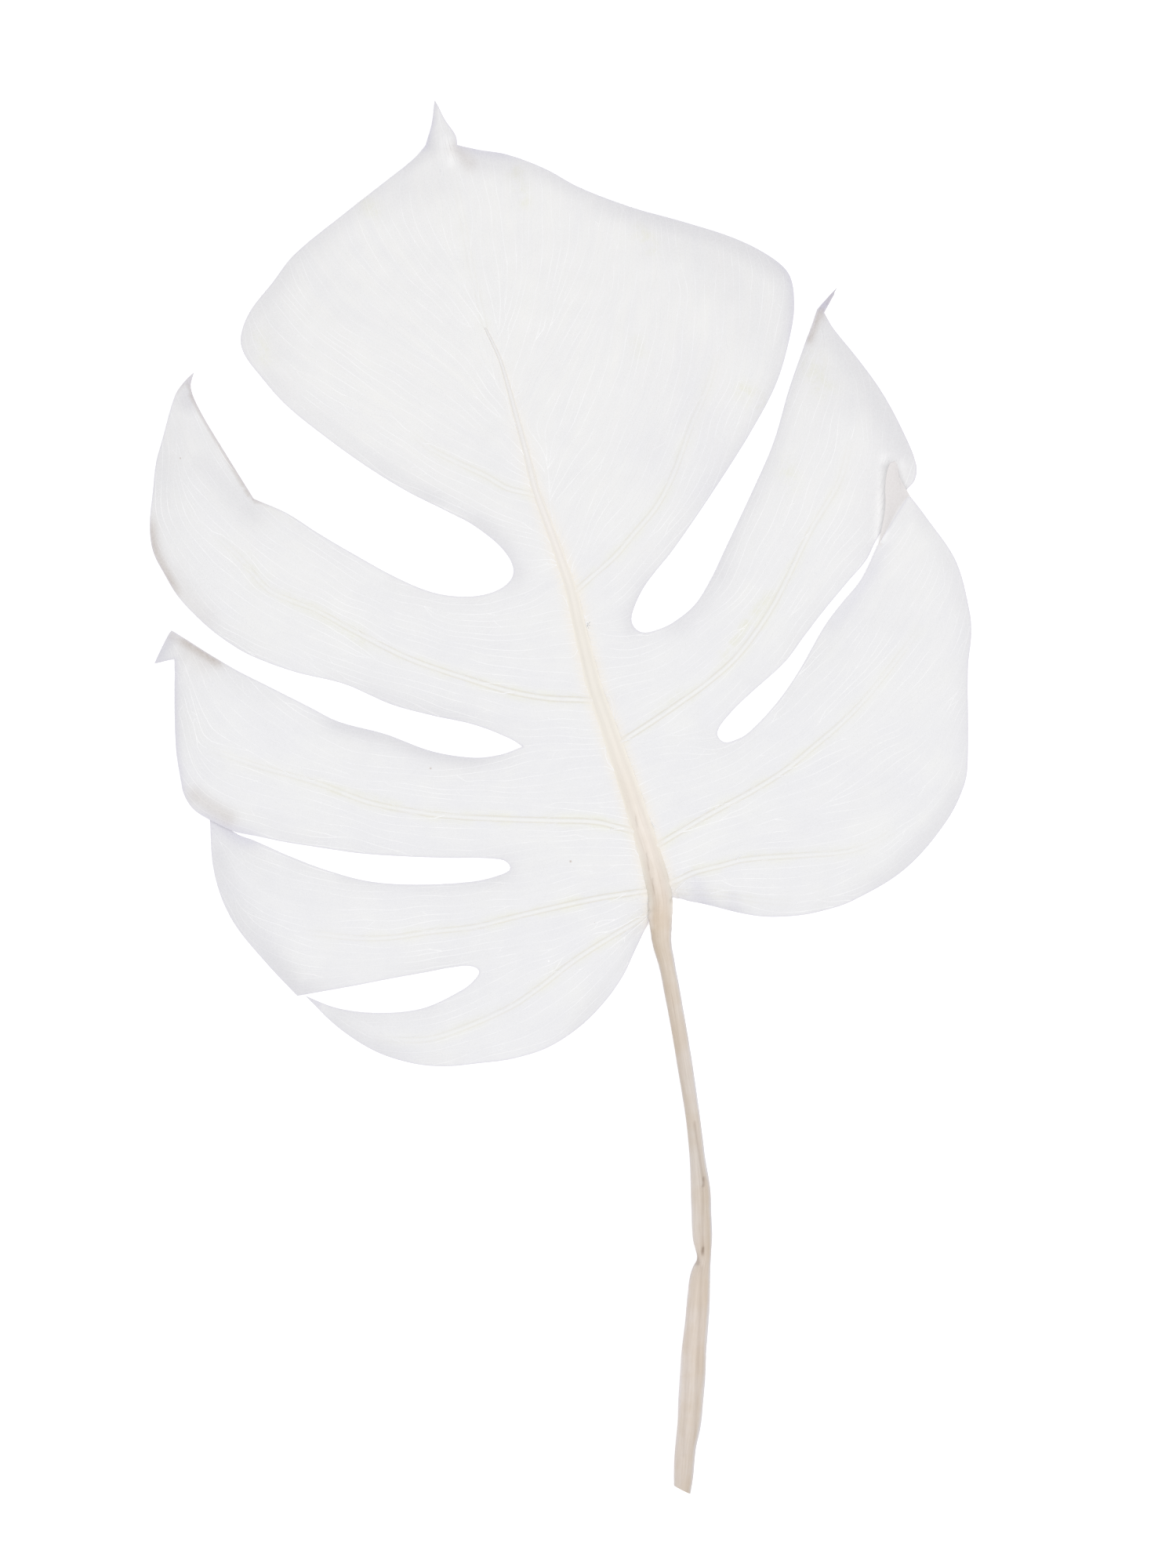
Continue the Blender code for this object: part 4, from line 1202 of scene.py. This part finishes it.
def stalk_surface(y, up, height, blade_under):
    """Height of the stalk's surface, and how free of the leaf it is, from 0 to 1."""
    free = smooth_step(y, *LEAVES_BLADE)
    rising = smooth_step(y, *RIDGE_RISES)
    top = height * RIDGE_SHARE + rising * (height * (1 - RIDGE_SHARE) + FRAME_LIFT - BLADE_THICKNESS)
    fullness = RIDGE_FULLNESS * (1 - rising) + rising
    ridge = np.where(up > 0, top * np.maximum(up, 0) ** fullness, RIDGE_SINK * up)
    ridge += blade_under + BLADE_THICKNESS
    lowest = (blade_under + FRAME_LIFT) * (1 - smooth_step(y, *LIES_DOWN))
    rod = lowest + height * (np.maximum(up, FLAT_BELOW) - FLAT_BELOW) / (1 - FLAT_BELOW)
    return ridge * (1 - free) + rod * free, free


print("stalk at its base:", [round(float(values[0]), 2) for values in stalk_rows(np.array([LEAF_BASE[1]]))])

# %% [markdown]
# A dried stalk isn't smooth. Long fibres stand out a little all along it, in two sets that each have a
# share, a closeness round the stalk and a length. Wrinkles run across it at the leaf's base and just below.
# Grooves, dents, scars and small lumps have known places, and each is a line with a reach and a depth.

# %% Relief of the stalk
FIBRES = [(1.0, 6.0, 22.0), (0.5, 13.8, 9.0)]
FIBRE_DEPTH = 0.16
FIBRE_WIDTH = 5.0
FIBRE_SHARES = (0.1, 1.2)
FIBRE_ON_LEAF = 0.3
WRINKLES_START = (-30.0, -35.0)
WRINKLES_END = (-50.0, -44.0)
WRINKLE_LENGTH = 2.6
WRINKLE_DEPTH = 0.05
WRINKLE_LEAN = 2.2
WRINKLE_WAVER = 3.0
GROOVE = [
    ((42.8, -104), (45.6, -122), 0.5, 0.3), ((45.4, -124), (45.2, -146), 0.5, 0.25),
    ((45.0, -150), (42.6, -214), 0.6, 0.2), ((40.6, -160), (39.0, -210), 0.6, 0.16),
]
DENTS = [
    ((42.9, -146.5), (43.4, -148.5), 0.9, 0.7), ((45.9, -121.5), (45.7, -123.5), 0.6, 0.14),
    ((45.4, -143.8), (45.1, -145.4), 0.6, 0.14), ((35.0, -33.4), (35.6, -32.4), 0.4, 0.3),
]
SCARS = [
    ((45.7, -121.5), (45.6, -124), 0.4, 0.45), ((45.4, -143.8), (45.1, -145.4), 0.4, 0.55),
    ((27.4, -18.0), (28.2, -23.5), 0.2, 0.3), ((29.2, -26), (29.8, -31), 0.2, 0.35),
    ((23.8, -6), (24.4, -9.5), 0.2, 0.25),
]
LUMPS = [
    ((28.4, -34.2), (28.3, -35.2), 0.7, 0.45), ((28.7, -37.2), (28.5, -38.6), 0.8, 0.5),
    ((29.0, -40.2), (29.3, -41.4), 0.7, 0.35),
]
DENT_BELOW = 0.4
FULL_GROOVE = 0.4
FULL_DENT = 0.5
FULL_LUMP = 0.8
FOOT_EDGE = 0.45


def relief(places, marks):
    """Sum of soft marks, each a line with a reach and a depth."""
    return sum(size * bell(from_line(places, start, end)[1], reach) for start, end, reach, size in marks)


def fibre_relief(y, side, up):
    """Long fibres, as a number round 0 at each point."""
    return np.array([
        sum(share * noise.noise(Vector((round_it * x, round_it * z, at / length)))
            for share, round_it, length in FIBRES)
        for at, x, z in zip(y, side, up)
    ])


def stalk_relief(y, side, up, width, free, places):
    """How far the surface stands out, and the marks that the finish reads."""
    fibre = fibre_relief(y, side, up)
    swell = FIBRE_DEPTH * fibre * np.clip(width / FIBRE_WIDTH, *FIBRE_SHARES)
    swell *= FIBRE_ON_LEAF + (1 - FIBRE_ON_LEAF) * free
    wrinkled = smooth_step(y, *WRINKLES_END) * smooth_step(y, *WRINKLES_START)
    wave = y / WRINKLE_LENGTH * math.tau + WRINKLE_LEAN * side + WRINKLE_WAVER * fibre
    swell += WRINKLE_DEPTH * wrinkled * np.sin(wave)
    seen = np.clip(up, 0, 1)
    groove = relief(places, GROOVE) * seen
    dent = relief(places, DENTS)
    lump = relief(places, LUMPS)
    swell += lump - groove - dent * (DENT_BELOW + (1 - DENT_BELOW) * seen)
    return swell, {
        "groove": np.clip(groove / FULL_GROOVE + dent / FULL_DENT, 0, 1),
        "pale_lumps_and_painted_light": np.clip(lump / FULL_LUMP, 0, 1),
        "scar": np.clip(relief(places, SCARS) * seen, 0, 1),
        # the foot is painted paler, partly as the midrib fades into the blade, partly as painted light on its
        # shaded flanks
        "foot": (1 - free) * smooth_step(np.abs(side), FOOT_EDGE, 1.0),
    }


print(len(GROOVE + DENTS + SCARS + LUMPS), "marks along the stalk")

# %% [markdown]
# Now the grid is made and rolled. Its long sides are merged where they meet, and its two ends are closed.
# The cut end is slanted, and its face is set in a little, because the pith dries back from the rind.

# %% Roll up the stalk
STALK_SIDES = 56
STALK_ROWS = 600
CUT_SLANT = 1.1
CUT_REACH = 12.0
FLOOR_CLEAR = 0.02
RIM_WIDTH = 0.5
RIM_DEPTH = 0.35
SEAM = 0.002


def open_ends(tube):
    """The open loops of edges at the tip and at the cut end."""
    rim = [edge for edge in tube.edges if edge.is_boundary]
    tip = [edge for edge in rim if edge.verts[0].co.y > 0]
    return tip, [edge for edge in rim if edge not in tip]


def roll(tube):
    """Moves each point of the flat grid to its place on the stalk, and keeps its marks."""
    flat = np.array([vert.co[:2] for vert in tube.verts]) + 0.5
    y = stalk_keys[-1] + (stalk_keys[0] - stalk_keys[-1]) * flat[:, 1]
    angle = math.tau * flat[:, 0] - math.pi / 2
    side = np.cos(angle)
    up = np.sin(angle)
    row_y = np.unique(y)
    row = np.searchsorted(row_y, y)
    middle, lean, width, height, blade_under = (values[row] for values in stalk_rows(row_y))
    z, free = stalk_surface(y, up, height, blade_under)
    run = np.hypot(lean, 1)
    places = np.column_stack([middle + side * width / 2 / run, y - side * width / 2 * lean / run])
    swell, marks = stalk_relief(y, side, up, width, free, places)
    cut = CUT_SLANT * side * smooth_step(y, stalk_keys[0] + CUT_REACH, stalk_keys[0])
    half = width / 2 + swell
    moved = np.column_stack([
        middle + side * half / run - cut * lean,
        y - side * half * lean / run - cut,
        np.maximum(z + swell * np.maximum(up, 0), FLOOR_CLEAR),
    ]) * MM
    layers = [(tube.verts.layers.float.new(name), values) for name, values in marks.items()]
    for i, vert in enumerate(tube.verts):
        vert.co = moved[i]
        for layer, values in layers:
            vert[layer] = values[i]


def rolled_stalk():
    tube = bmesh.new()
    tube.loops.layers.uv.new("stalk")
    bmesh.ops.create_grid(tube, x_segments=STALK_SIDES, y_segments=STALK_ROWS, size=0.5, calc_uvs=True)
    roll(tube)
    bmesh.ops.remove_doubles(tube, verts=tube.verts, dist=SEAM * MM)
    for edges in open_ends(tube):
        cap = bmesh.ops.contextual_create(tube, geom=edges)["faces"]
        bmesh.ops.inset_region(tube, faces=cap, thickness=RIM_WIDTH * MM, depth=-RIM_DEPTH * MM)
    bmesh.ops.recalc_face_normals(tube, faces=tube.faces)
    mesh = bpy.data.meshes.new("stalk_and_midrib")
    tube.to_mesh(mesh)
    tube.free()
    mesh.shade_smooth()
    mesh.set_sharp_from_angle(angle=math.radians(SHARP))
    return mesh


stalk = show("stalk_and_midrib", rolled_stalk())
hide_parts("petiole_and_midrib")
print("stalk:", len(stalk.data.polygons), "faces")

# %% [markdown]
# ## Finishes
#
# The finishes are built from a few shared effects, each a small group of shader nodes that gives out a mask
# or a height. The helpers here only save typing: one adds a node with its inputs fed, one turns a screen
# colour into the light that the renderer counts in, and one lays a pile of shades over a colour.

# %% Helpers for shader nodes
def paint(red, green, blue):
    """A screen colour, from 0 to 255, as linear light."""
    return tuple(((part / 255 + 0.055) / 1.055) ** 2.4 for part in (red, green, blue)) + (1,)


def feed(tree, socket, value):
    """Gives a socket a value, or the output of another node."""
    if isinstance(value, bpy.types.NodeSocket):
        tree.links.new(value, socket)
    else:
        socket.default_value = value


def add(tree, kind, inputs=None, **settings):
    """A new node with its settings made and its inputs fed."""
    node = tree.nodes.new("ShaderNode" + kind)
    for name, value in settings.items():
        setattr(node, name, value)
    for key, value in (inputs or {}).items():
        feed(tree, node.inputs[key], value)
    return node


def use(tree, group, **inputs):
    """The one output of a shared effect, placed with its own values."""
    return add(tree, "Group", inputs, node_tree=group).outputs[0]


def maths(tree, operation, first, second=0.5, clamp=False):
    return add(tree, "Math", {0: first, 1: second}, operation=operation, use_clamp=clamp).outputs[0]


def part_way(tree, value, start, end):
    """0 up to the start, 1 from the end on, and evenly between the two."""
    return add(tree, "MapRange", {"Value": value, "From Min": start, "From Max": end}).outputs["Result"]


def value_of(tree, name):
    """A number that the mesh keeps on its points."""
    return add(tree, "Attribute", attribute_name=name).outputs["Fac"]


def mixed(tree, share, first, second):
    """A mix of two colours."""
    node = add(tree, "Mix", {"Factor": share, 6: first, 7: second}, data_type="RGBA")
    return node.outputs[2]


def layered(tree, colour, layers):
    """The colour under a pile of shades, each as strong as the product of its masks."""
    for shade, share, *masks in layers:
        for mask in masks:
            share = maths(tree, "MULTIPLY", share, mask)
        colour = mixed(tree, share, colour, paint(*shade))
    return colour


def new_group(name, output, **inputs):
    """An empty group with its sockets, and the nodes that stand for them."""
    tree = bpy.data.node_groups.new(name, "ShaderNodeTree")
    for socket, kind in inputs.items():
        tree.interface.new_socket(name=socket, in_out="INPUT", socket_type="NodeSocket" + kind)
    tree.interface.new_socket(name=output, in_out="OUTPUT", socket_type="NodeSocketFloat")
    return tree, tree.nodes.new("NodeGroupInput").outputs, tree.nodes.new("NodeGroupOutput").inputs[output]


def new_material(name):
    """A new material, its nodes, and the place of each point on them."""
    material = bpy.data.materials.new(name)
    material.use_nodes = True
    return material, material.node_tree, add(material.node_tree, "TexCoord").outputs["Object"]


def finished(material, **inputs):
    """The material, once its plain shader is fed; an underscore stands for a space in a socket's name."""
    tree = material.node_tree
    for name, value in inputs.items():
        feed(tree, tree.nodes["Principled BSDF"].inputs[name.replace("_", " ")], value)
    return material


print("white paint as light:", tuple(round(part, 3) for part in paint(242, 242, 242)))

# %% [markdown]
# Four effects are groups. A band is a mask that is full at a line and fades with the distance from it. A
# mottle is a soft cloud at several sizes at once. The tissue is the net of tiny cells between the fine veins,
# as a height. A speck is one small round spot at a given place.

# %% Shared effects
NET_WOBBLE = 0.0012
NET_WALL = 0.22
SPECK_SOFTNESS = 1.3


def soft_band():
    tree, given, out = new_group("soft_band", "Mask", Distance="Float", Middle="Float", Width="Float")
    off = maths(tree, "SUBTRACT", given["Distance"], given["Middle"])
    share = maths(tree, "DIVIDE", off, given["Width"])
    fade = maths(tree, "EXPONENT", maths(tree, "MULTIPLY", maths(tree, "MULTIPLY", share, share), -1.0))
    tree.links.new(fade, out)
    return tree


def mottle():
    tree, given, out = new_group("mottle", "Mask", Place="Vector", Size="Float")
    scale = maths(tree, "DIVIDE", 1.0, given["Size"])
    cloud = add(tree, "TexNoise", {"Vector": given["Place"], "Scale": scale, "Detail": 4.0, "Roughness": 0.6})
    shaped = add(tree, "MapRange", {"Value": cloud.outputs["Fac"], "From Min": 0.35, "From Max": 0.65},
                 interpolation_type="SMOOTHSTEP")
    tree.links.new(shaped.outputs["Result"], out)
    return tree


def tissue():
    tree, given, out = new_group("tissue", "Height", Place="Vector", Size="Float")
    scale = maths(tree, "DIVIDE", 1.0, given["Size"])
    bent = add(tree, "TexNoise", {"Vector": given["Place"], "Scale": maths(tree, "MULTIPLY", scale, 0.6)})
    push = add(tree, "VectorMath", {0: bent.outputs["Color"], 1: (NET_WOBBLE,) * 3}, operation="MULTIPLY")
    moved = add(tree, "VectorMath", {0: given["Place"], 1: push.outputs[0]}, operation="ADD")
    net = add(tree, "TexVoronoi", {"Vector": moved.outputs[0], "Scale": scale}, feature="DISTANCE_TO_EDGE")
    wall = add(tree, "MapRange", {"Value": net.outputs["Distance"], "From Max": NET_WALL,
                                  "To Min": 1.0, "To Max": 0.0}, interpolation_type="SMOOTHSTEP")
    tree.links.new(wall.outputs["Result"], out)
    return tree


def speck():
    tree, given, out = new_group("speck", "Mask", Place="Vector", Spot="Vector", Radius="Float")
    flat = add(tree, "VectorMath", {0: given["Place"], 1: (1.0, 1.0, 0.0)}, operation="MULTIPLY")
    away = add(tree, "VectorMath", {0: flat.outputs[0], 1: given["Spot"]}, operation="DISTANCE")
    share = maths(tree, "DIVIDE", away.outputs["Value"], given["Radius"])
    tree.links.new(maths(tree, "SUBTRACT", SPECK_SOFTNESS, share, clamp=True), out)
    return tree


SOFT_BAND = soft_band()
MOTTLE = mottle()
TISSUE = tissue()
SPECK = speck()
print("effects:", [group.name for group in bpy.data.node_groups])

# %% [markdown]
# A bleached blade looks like soft paper. Its white is a touch warm in some clouds and a touch lavender in
# others. A cream tint follows the lateral veins. Thin tan lines at their sides are partly that tint and
# partly painted shade on the flanks of the ridges. A wide grey band of painted shade lies along the rolled
# edge, and a faint lavender line of painted shade follows the rim. The soft strokes kept on the sheet paint
# grey and lilac shade on steep, rolled and overhung places, pale light beside the flap and on the cusp, and
# cream tints. Their brown is partly the leaf's own and partly painted shade, where two layers meet or the
# edge is rolled. The flap is painted darker, as the shade of its doubled layer. The finish is a pile of
# such shades, each with the masks that say where it is seen. The tissue net is far too small for a mesh, so
# it is a bump. A few brown specks and one white pinhole come last.

# %% Finish of the blade
BLADE_WHITE = paint(235, 235, 236)
CLOUD_SIZE = 0.034
SHADE_SIZE = 0.013
RAGGED_SIZE = 0.004
PATCH_SIZE = 0.009
NET_SIZE = 0.0011
# Colours of the strokes: grey and lilac are painted shade, pale is painted light, brown is partly painted
# shade.
STROKE_SHADES = {
    "painted_grey_shade": (206, 205, 210), "painted_lilac_shade": (188, 186, 208), "pale_lumps_and_painted_light": (252, 252, 252), "brown_and_painted_shade": (168, 152, 138),
}
SPECK_BROWN = (172, 150, 132)
SPOTS = [
    ((3.2, -20.6), 0.42, SPECK_BROWN, 0.55), ((-41.5, 9.1), 0.35, SPECK_BROWN, 0.55),
    ((10.9, -40.2), 0.2, SPECK_BROWN, 0.55), ((-121.2, 108), 0.3, SPECK_BROWN, 0.55),
    ((-3.8, -52.4), 0.3, (255, 255, 255), 1.0),
]


def blade_layers(tree, place, shades, net):
    """The shades over the blade's white, from the lowest up, each with its masks."""
    def clouds(size):
        return use(tree, MOTTLE, Place=place, Size=size)

    def band(mark, middle, width):
        return use(tree, SOFT_BAND, Distance=value_of(tree, mark), Middle=middle, Width=width)

    up = add(tree, "SeparateXYZ", {0: place}).outputs["Y"]
    broad = clouds(CLOUD_SIZE)
    high_up = part_way(tree, up, 0.02, 0.14)
    low_down = part_way(tree, up, 0.15, 0.07)
    streak = maths(tree, "ADD", value_of(tree, "streak"), 0.5, clamp=True)
    vein = value_of(tree, "vein_strength")
    painted_grey_shade, painted_lilac_shade, pale_lumps_and_painted_light, brown_and_painted_shade = ((shade, value_of(tree, mark)) for mark, shade in STROKE_SHADES.items())
    spots = []
    for (x, y), radius, shade, strength in SPOTS:
        mask = use(tree, SPECK, Place=place, Spot=(x * MM, y * MM, 0), Radius=radius * MM)
        spots.append((shade, mask, strength))
    return [
        ((238, 238, 236), broad, 0.7),
        ((234, 234, 237), shades, 0.45),
        ((238, 237, 234), high_up, 0.6),
        ((229, 229, 232), streak, 0.5),
        ((226, 226, 205), value_of(tree, "cream"), clouds(RAGGED_SIZE)),
        ((235, 235, 226), band("to_vein", 1.0, 1.4), clouds(PATCH_SIZE), vein),
        ((241, 241, 239), band("to_vein", 0.0, 0.45), vein),
        # tan lines at the ridge's sides: partly a tint, partly painted shade on its flanks
        ((226, 222, 210), band("to_vein", 0.72, 0.26), vein, 0.8),
        ((239, 234, 226), band("to_midrib", 0.0, 2.2), low_down, 0.8),
        # painted shade: a wide grey band along the rolled edge
        ((216, 215, 219), band("to_margin", 0.0, 5.0), broad, 0.3),
        # painted shade and light from the strokes: grey and lilac shade, pale light, and brown that is partly
        # shade
        painted_grey_shade,
        painted_lilac_shade,
        pale_lumps_and_painted_light,
        # the flap: painted shade of its doubled layer
        ((225, 221, 220), value_of(tree, "painted_flap_shade"), 0.9),
        brown_and_painted_shade,
        # painted shade: a thin lavender line along the rim
        ((216, 214, 223), band("to_margin", 0.0, 0.45), 0.6),
        *spots,
        ((246, 246, 246), net, 0.12),
    ]


def blade_finish():
    material, tree, place = new_material("bleached_blade_finish")
    shades = use(tree, MOTTLE, Place=place, Size=SHADE_SIZE)
    net = use(tree, TISSUE, Place=place, Size=NET_SIZE)
    colour = layered(tree, BLADE_WHITE, blade_layers(tree, place, shades, net))
    bump = add(tree, "Bump", {"Strength": 0.12, "Distance": 0.00012, "Height": net}).outputs["Normal"]
    rough = add(tree, "MapRange", {"Value": shades, "To Min": 0.58, "To Max": 0.72}).outputs["Result"]
    return finished(material, Base_Color=colour, Roughness=rough, Normal=bump, Specular_IOR_Level=0.3)


def thread_finish(name, dull, bright):
    material, tree, place = new_material(name)
    colour = mixed(tree, use(tree, MOTTLE, Place=place, Size=0.016), paint(*dull), paint(*bright))
    # The threads take the same painted grey, lilac and brown shade as the sheet under them.
    layers = [(STROKE_SHADES[mark], value_of(tree, mark)) for mark in THREAD_MARKS]
    return finished(material, Base_Color=layered(tree, colour, layers), Roughness=0.6, Specular_IOR_Level=0.3)


blade.data.materials.append(blade_finish())
main_finish = thread_finish("main_vein_finish", (239, 239, 240), (250, 250, 250))
thin_finish = thread_finish("thin_vein_finish", (235, 235, 236), (243, 243, 243))
for piece in (main_threads, tie_threads):
    piece.data.materials.append(main_finish)
for piece in (thin_threads, link_threads):
    piece.data.materials.append(thin_finish)
print("blade finish:", len(blade.data.materials[0].node_tree.nodes), "nodes")

# %% [markdown]
# The stalk dried to tan, with long fibres. On the leaf the same body grows paler, through ochre and a faint
# pink, until it is nearly as white as the blade at its tip. So its main colour depends on how far up the
# leaf it is, and the fibres use the rolled grid's texture coordinates, which run along it. One flank has
# painted shade and the other painted light, and they change places where the stalk turns. Where the rod is
# free of the leaf, its sides and its right flank get a grey-lavender painted shade. The midrib's foot is
# painted paler, partly as it fades into the white blade and partly as painted light on its shaded flanks.
# Grooves and dents were kept on its points and are painted darker, as shade in them, and old scars, kept
# there too, are darker in colour.

# %% Finish of the stalk
STALK_COLOURS = [
    (-0.222, (208, 196, 185)), (-0.196, (220, 209, 198)), (-0.170, (222, 209, 197)),
    (-0.152, (216, 203, 190)), (-0.142, (212, 199, 185)), (-0.108, (210, 202, 192)),
    (-0.085, (212, 201, 189)), (-0.071, (216, 205, 192)), (-0.047, (215, 200, 179)),
    (-0.038, (226, 209, 189)), (-0.028, (243, 233, 222)), (-0.018, (248, 240, 231)),
    (0.004, (240, 233, 223)), (0.029, (236, 231, 222)), (0.054, (237, 232, 223)),
    (0.079, (240, 235, 229)), (0.114, (238, 236, 234)), (0.150, (238, 237, 237)),
]
FIBRE_SCALE = (44.0, 30.0, 1.0)
FLANK_STRENGTH = 0.45


def colour_up_the_leaf(tree, up):
    """The stalk's main colour, between the ones in the table."""
    low = STALK_COLOURS[0][0]
    high = STALK_COLOURS[-1][0]
    ramp = add(tree, "ValToRGB", {"Fac": part_way(tree, up, low, high)})
    stops = ramp.color_ramp.elements
    while len(stops) < len(STALK_COLOURS):
        stops.new(0.5)
    for stop, (height, colour) in zip(stops, STALK_COLOURS):
        stop.position = (height - low) / (high - low)
        stop.color = paint(*colour)
    return ramp.outputs["Color"]


def stalk_finish():
    material, tree, place = new_material("dried_stalk_finish")
    up = add(tree, "SeparateXYZ", {0: place}).outputs["Y"]
    unrolled = add(tree, "UVMap", uv_map="stalk").outputs["UV"]
    sideways = add(tree, "SeparateXYZ", {0: unrolled}).outputs["X"]
    stretched = add(tree, "Mapping", {"Vector": unrolled, "Scale": FIBRE_SCALE}).outputs[0]
    grain = add(tree, "TexNoise", {"Vector": stretched, "Scale": 1.0, "Detail": 5.0, "Roughness": 0.65})
    fibres = grain.outputs["Fac"]
    dark = part_way(tree, fibres, 0.5, 0.72)
    tan_part = part_way(tree, up, 0.02, -0.05)
    free = part_way(tree, up, -0.03, -0.048)
    left = part_way(tree, sideways, 0.28, 0.72)
    turned = part_way(tree, up, -0.100, -0.125)
    shady = mixed(tree, turned, left, maths(tree, "SUBTRACT", 1.0, left))
    lit = maths(tree, "SUBTRACT", 1.0, shady)
    from_top = maths(tree, "ABSOLUTE", maths(tree, "SUBTRACT", sideways, 0.5))
    colour = layered(tree, colour_up_the_leaf(tree, up), [
        ((178, 160, 134), dark, tan_part, 0.42),
        ((238, 230, 222), part_way(tree, fibres, 0.46, 0.3), 0.25),
        ((192, 176, 158), shady, tan_part, FLANK_STRENGTH),
        ((233, 227, 225), lit, tan_part, FLANK_STRENGTH),
        # painted shade: grey-lavender on both sides of the free rod, and more on its right flank
        ((226, 223, 227), part_way(tree, from_top, 0.14, 0.25), free, 0.7),
        ((216, 217, 222), part_way(tree, sideways, 0.38, 0.28), free, 0.75),
        # the midrib's foot: partly a fade into the blade, partly painted light on its shaded flanks
        ((247, 242, 232), value_of(tree, "foot"), 0.8),
        ((196, 172, 138), use(tree, MOTTLE, Place=place, Size=0.012), tan_part, 0.22),
        # on the stalk the pale mark is only the lumps' own paler colour
        ((234, 225, 218), value_of(tree, "pale_lumps_and_painted_light")),
        # painted shade: grooves and dents are darker
        ((150, 130, 112), value_of(tree, "groove"), 0.4),
        ((110, 84, 66), value_of(tree, "scar"), 0.85),
    ])
    bump = add(tree, "Bump", {"Strength": 0.5, "Distance": 0.0002, "Height": fibres}).outputs["Normal"]
    rough = add(tree, "MapRange", {"Value": dark, "To Min": 0.5, "To Max": 0.7}).outputs["Result"]
    return finished(material, Base_Color=colour, Roughness=rough, Normal=bump, Specular_IOR_Level=0.35)


stalk.data.materials.append(stalk_finish())
print("stalk finish:", len(stalk.data.materials[0].node_tree.nodes), "nodes")

# %% [markdown]
# The floor is a plain pale one. Its finish gives off a little light of its own, so that the faint shadow
# under the raised lobes is still white.

# %% Finish of the floor
FLOOR_GLOW = 0.25
FLOOR_CLOUD_SIZE = 0.4


def floor_finish():
    material, tree, place = new_material("pale_floor")
    clouds = use(tree, MOTTLE, Place=place, Size=FLOOR_CLOUD_SIZE)
    colour = mixed(tree, clouds, (0.93, 0.93, 0.93, 1), (0.95, 0.95, 0.95, 1))
    return finished(material, Base_Color=colour, Roughness=0.9, Emission_Color=(1, 1, 1, 1),
                    Emission_Strength=FLOOR_GLOW)


floor.data.materials.append(floor_finish())

# %% [markdown]
# Last, the size is printed twice: that of the plain frame, read right after it was loaded, and that of the
# finished leaf. The fine mesh may stand out from the frame by a few hundredths at most.

# %% Sizes and end
leaf_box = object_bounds()
for name, corners in (("frame", cad_box), ("leaf", leaf_box)):
    print(name, [round(float(value) / MM, 2) for corner in corners for value in corner])
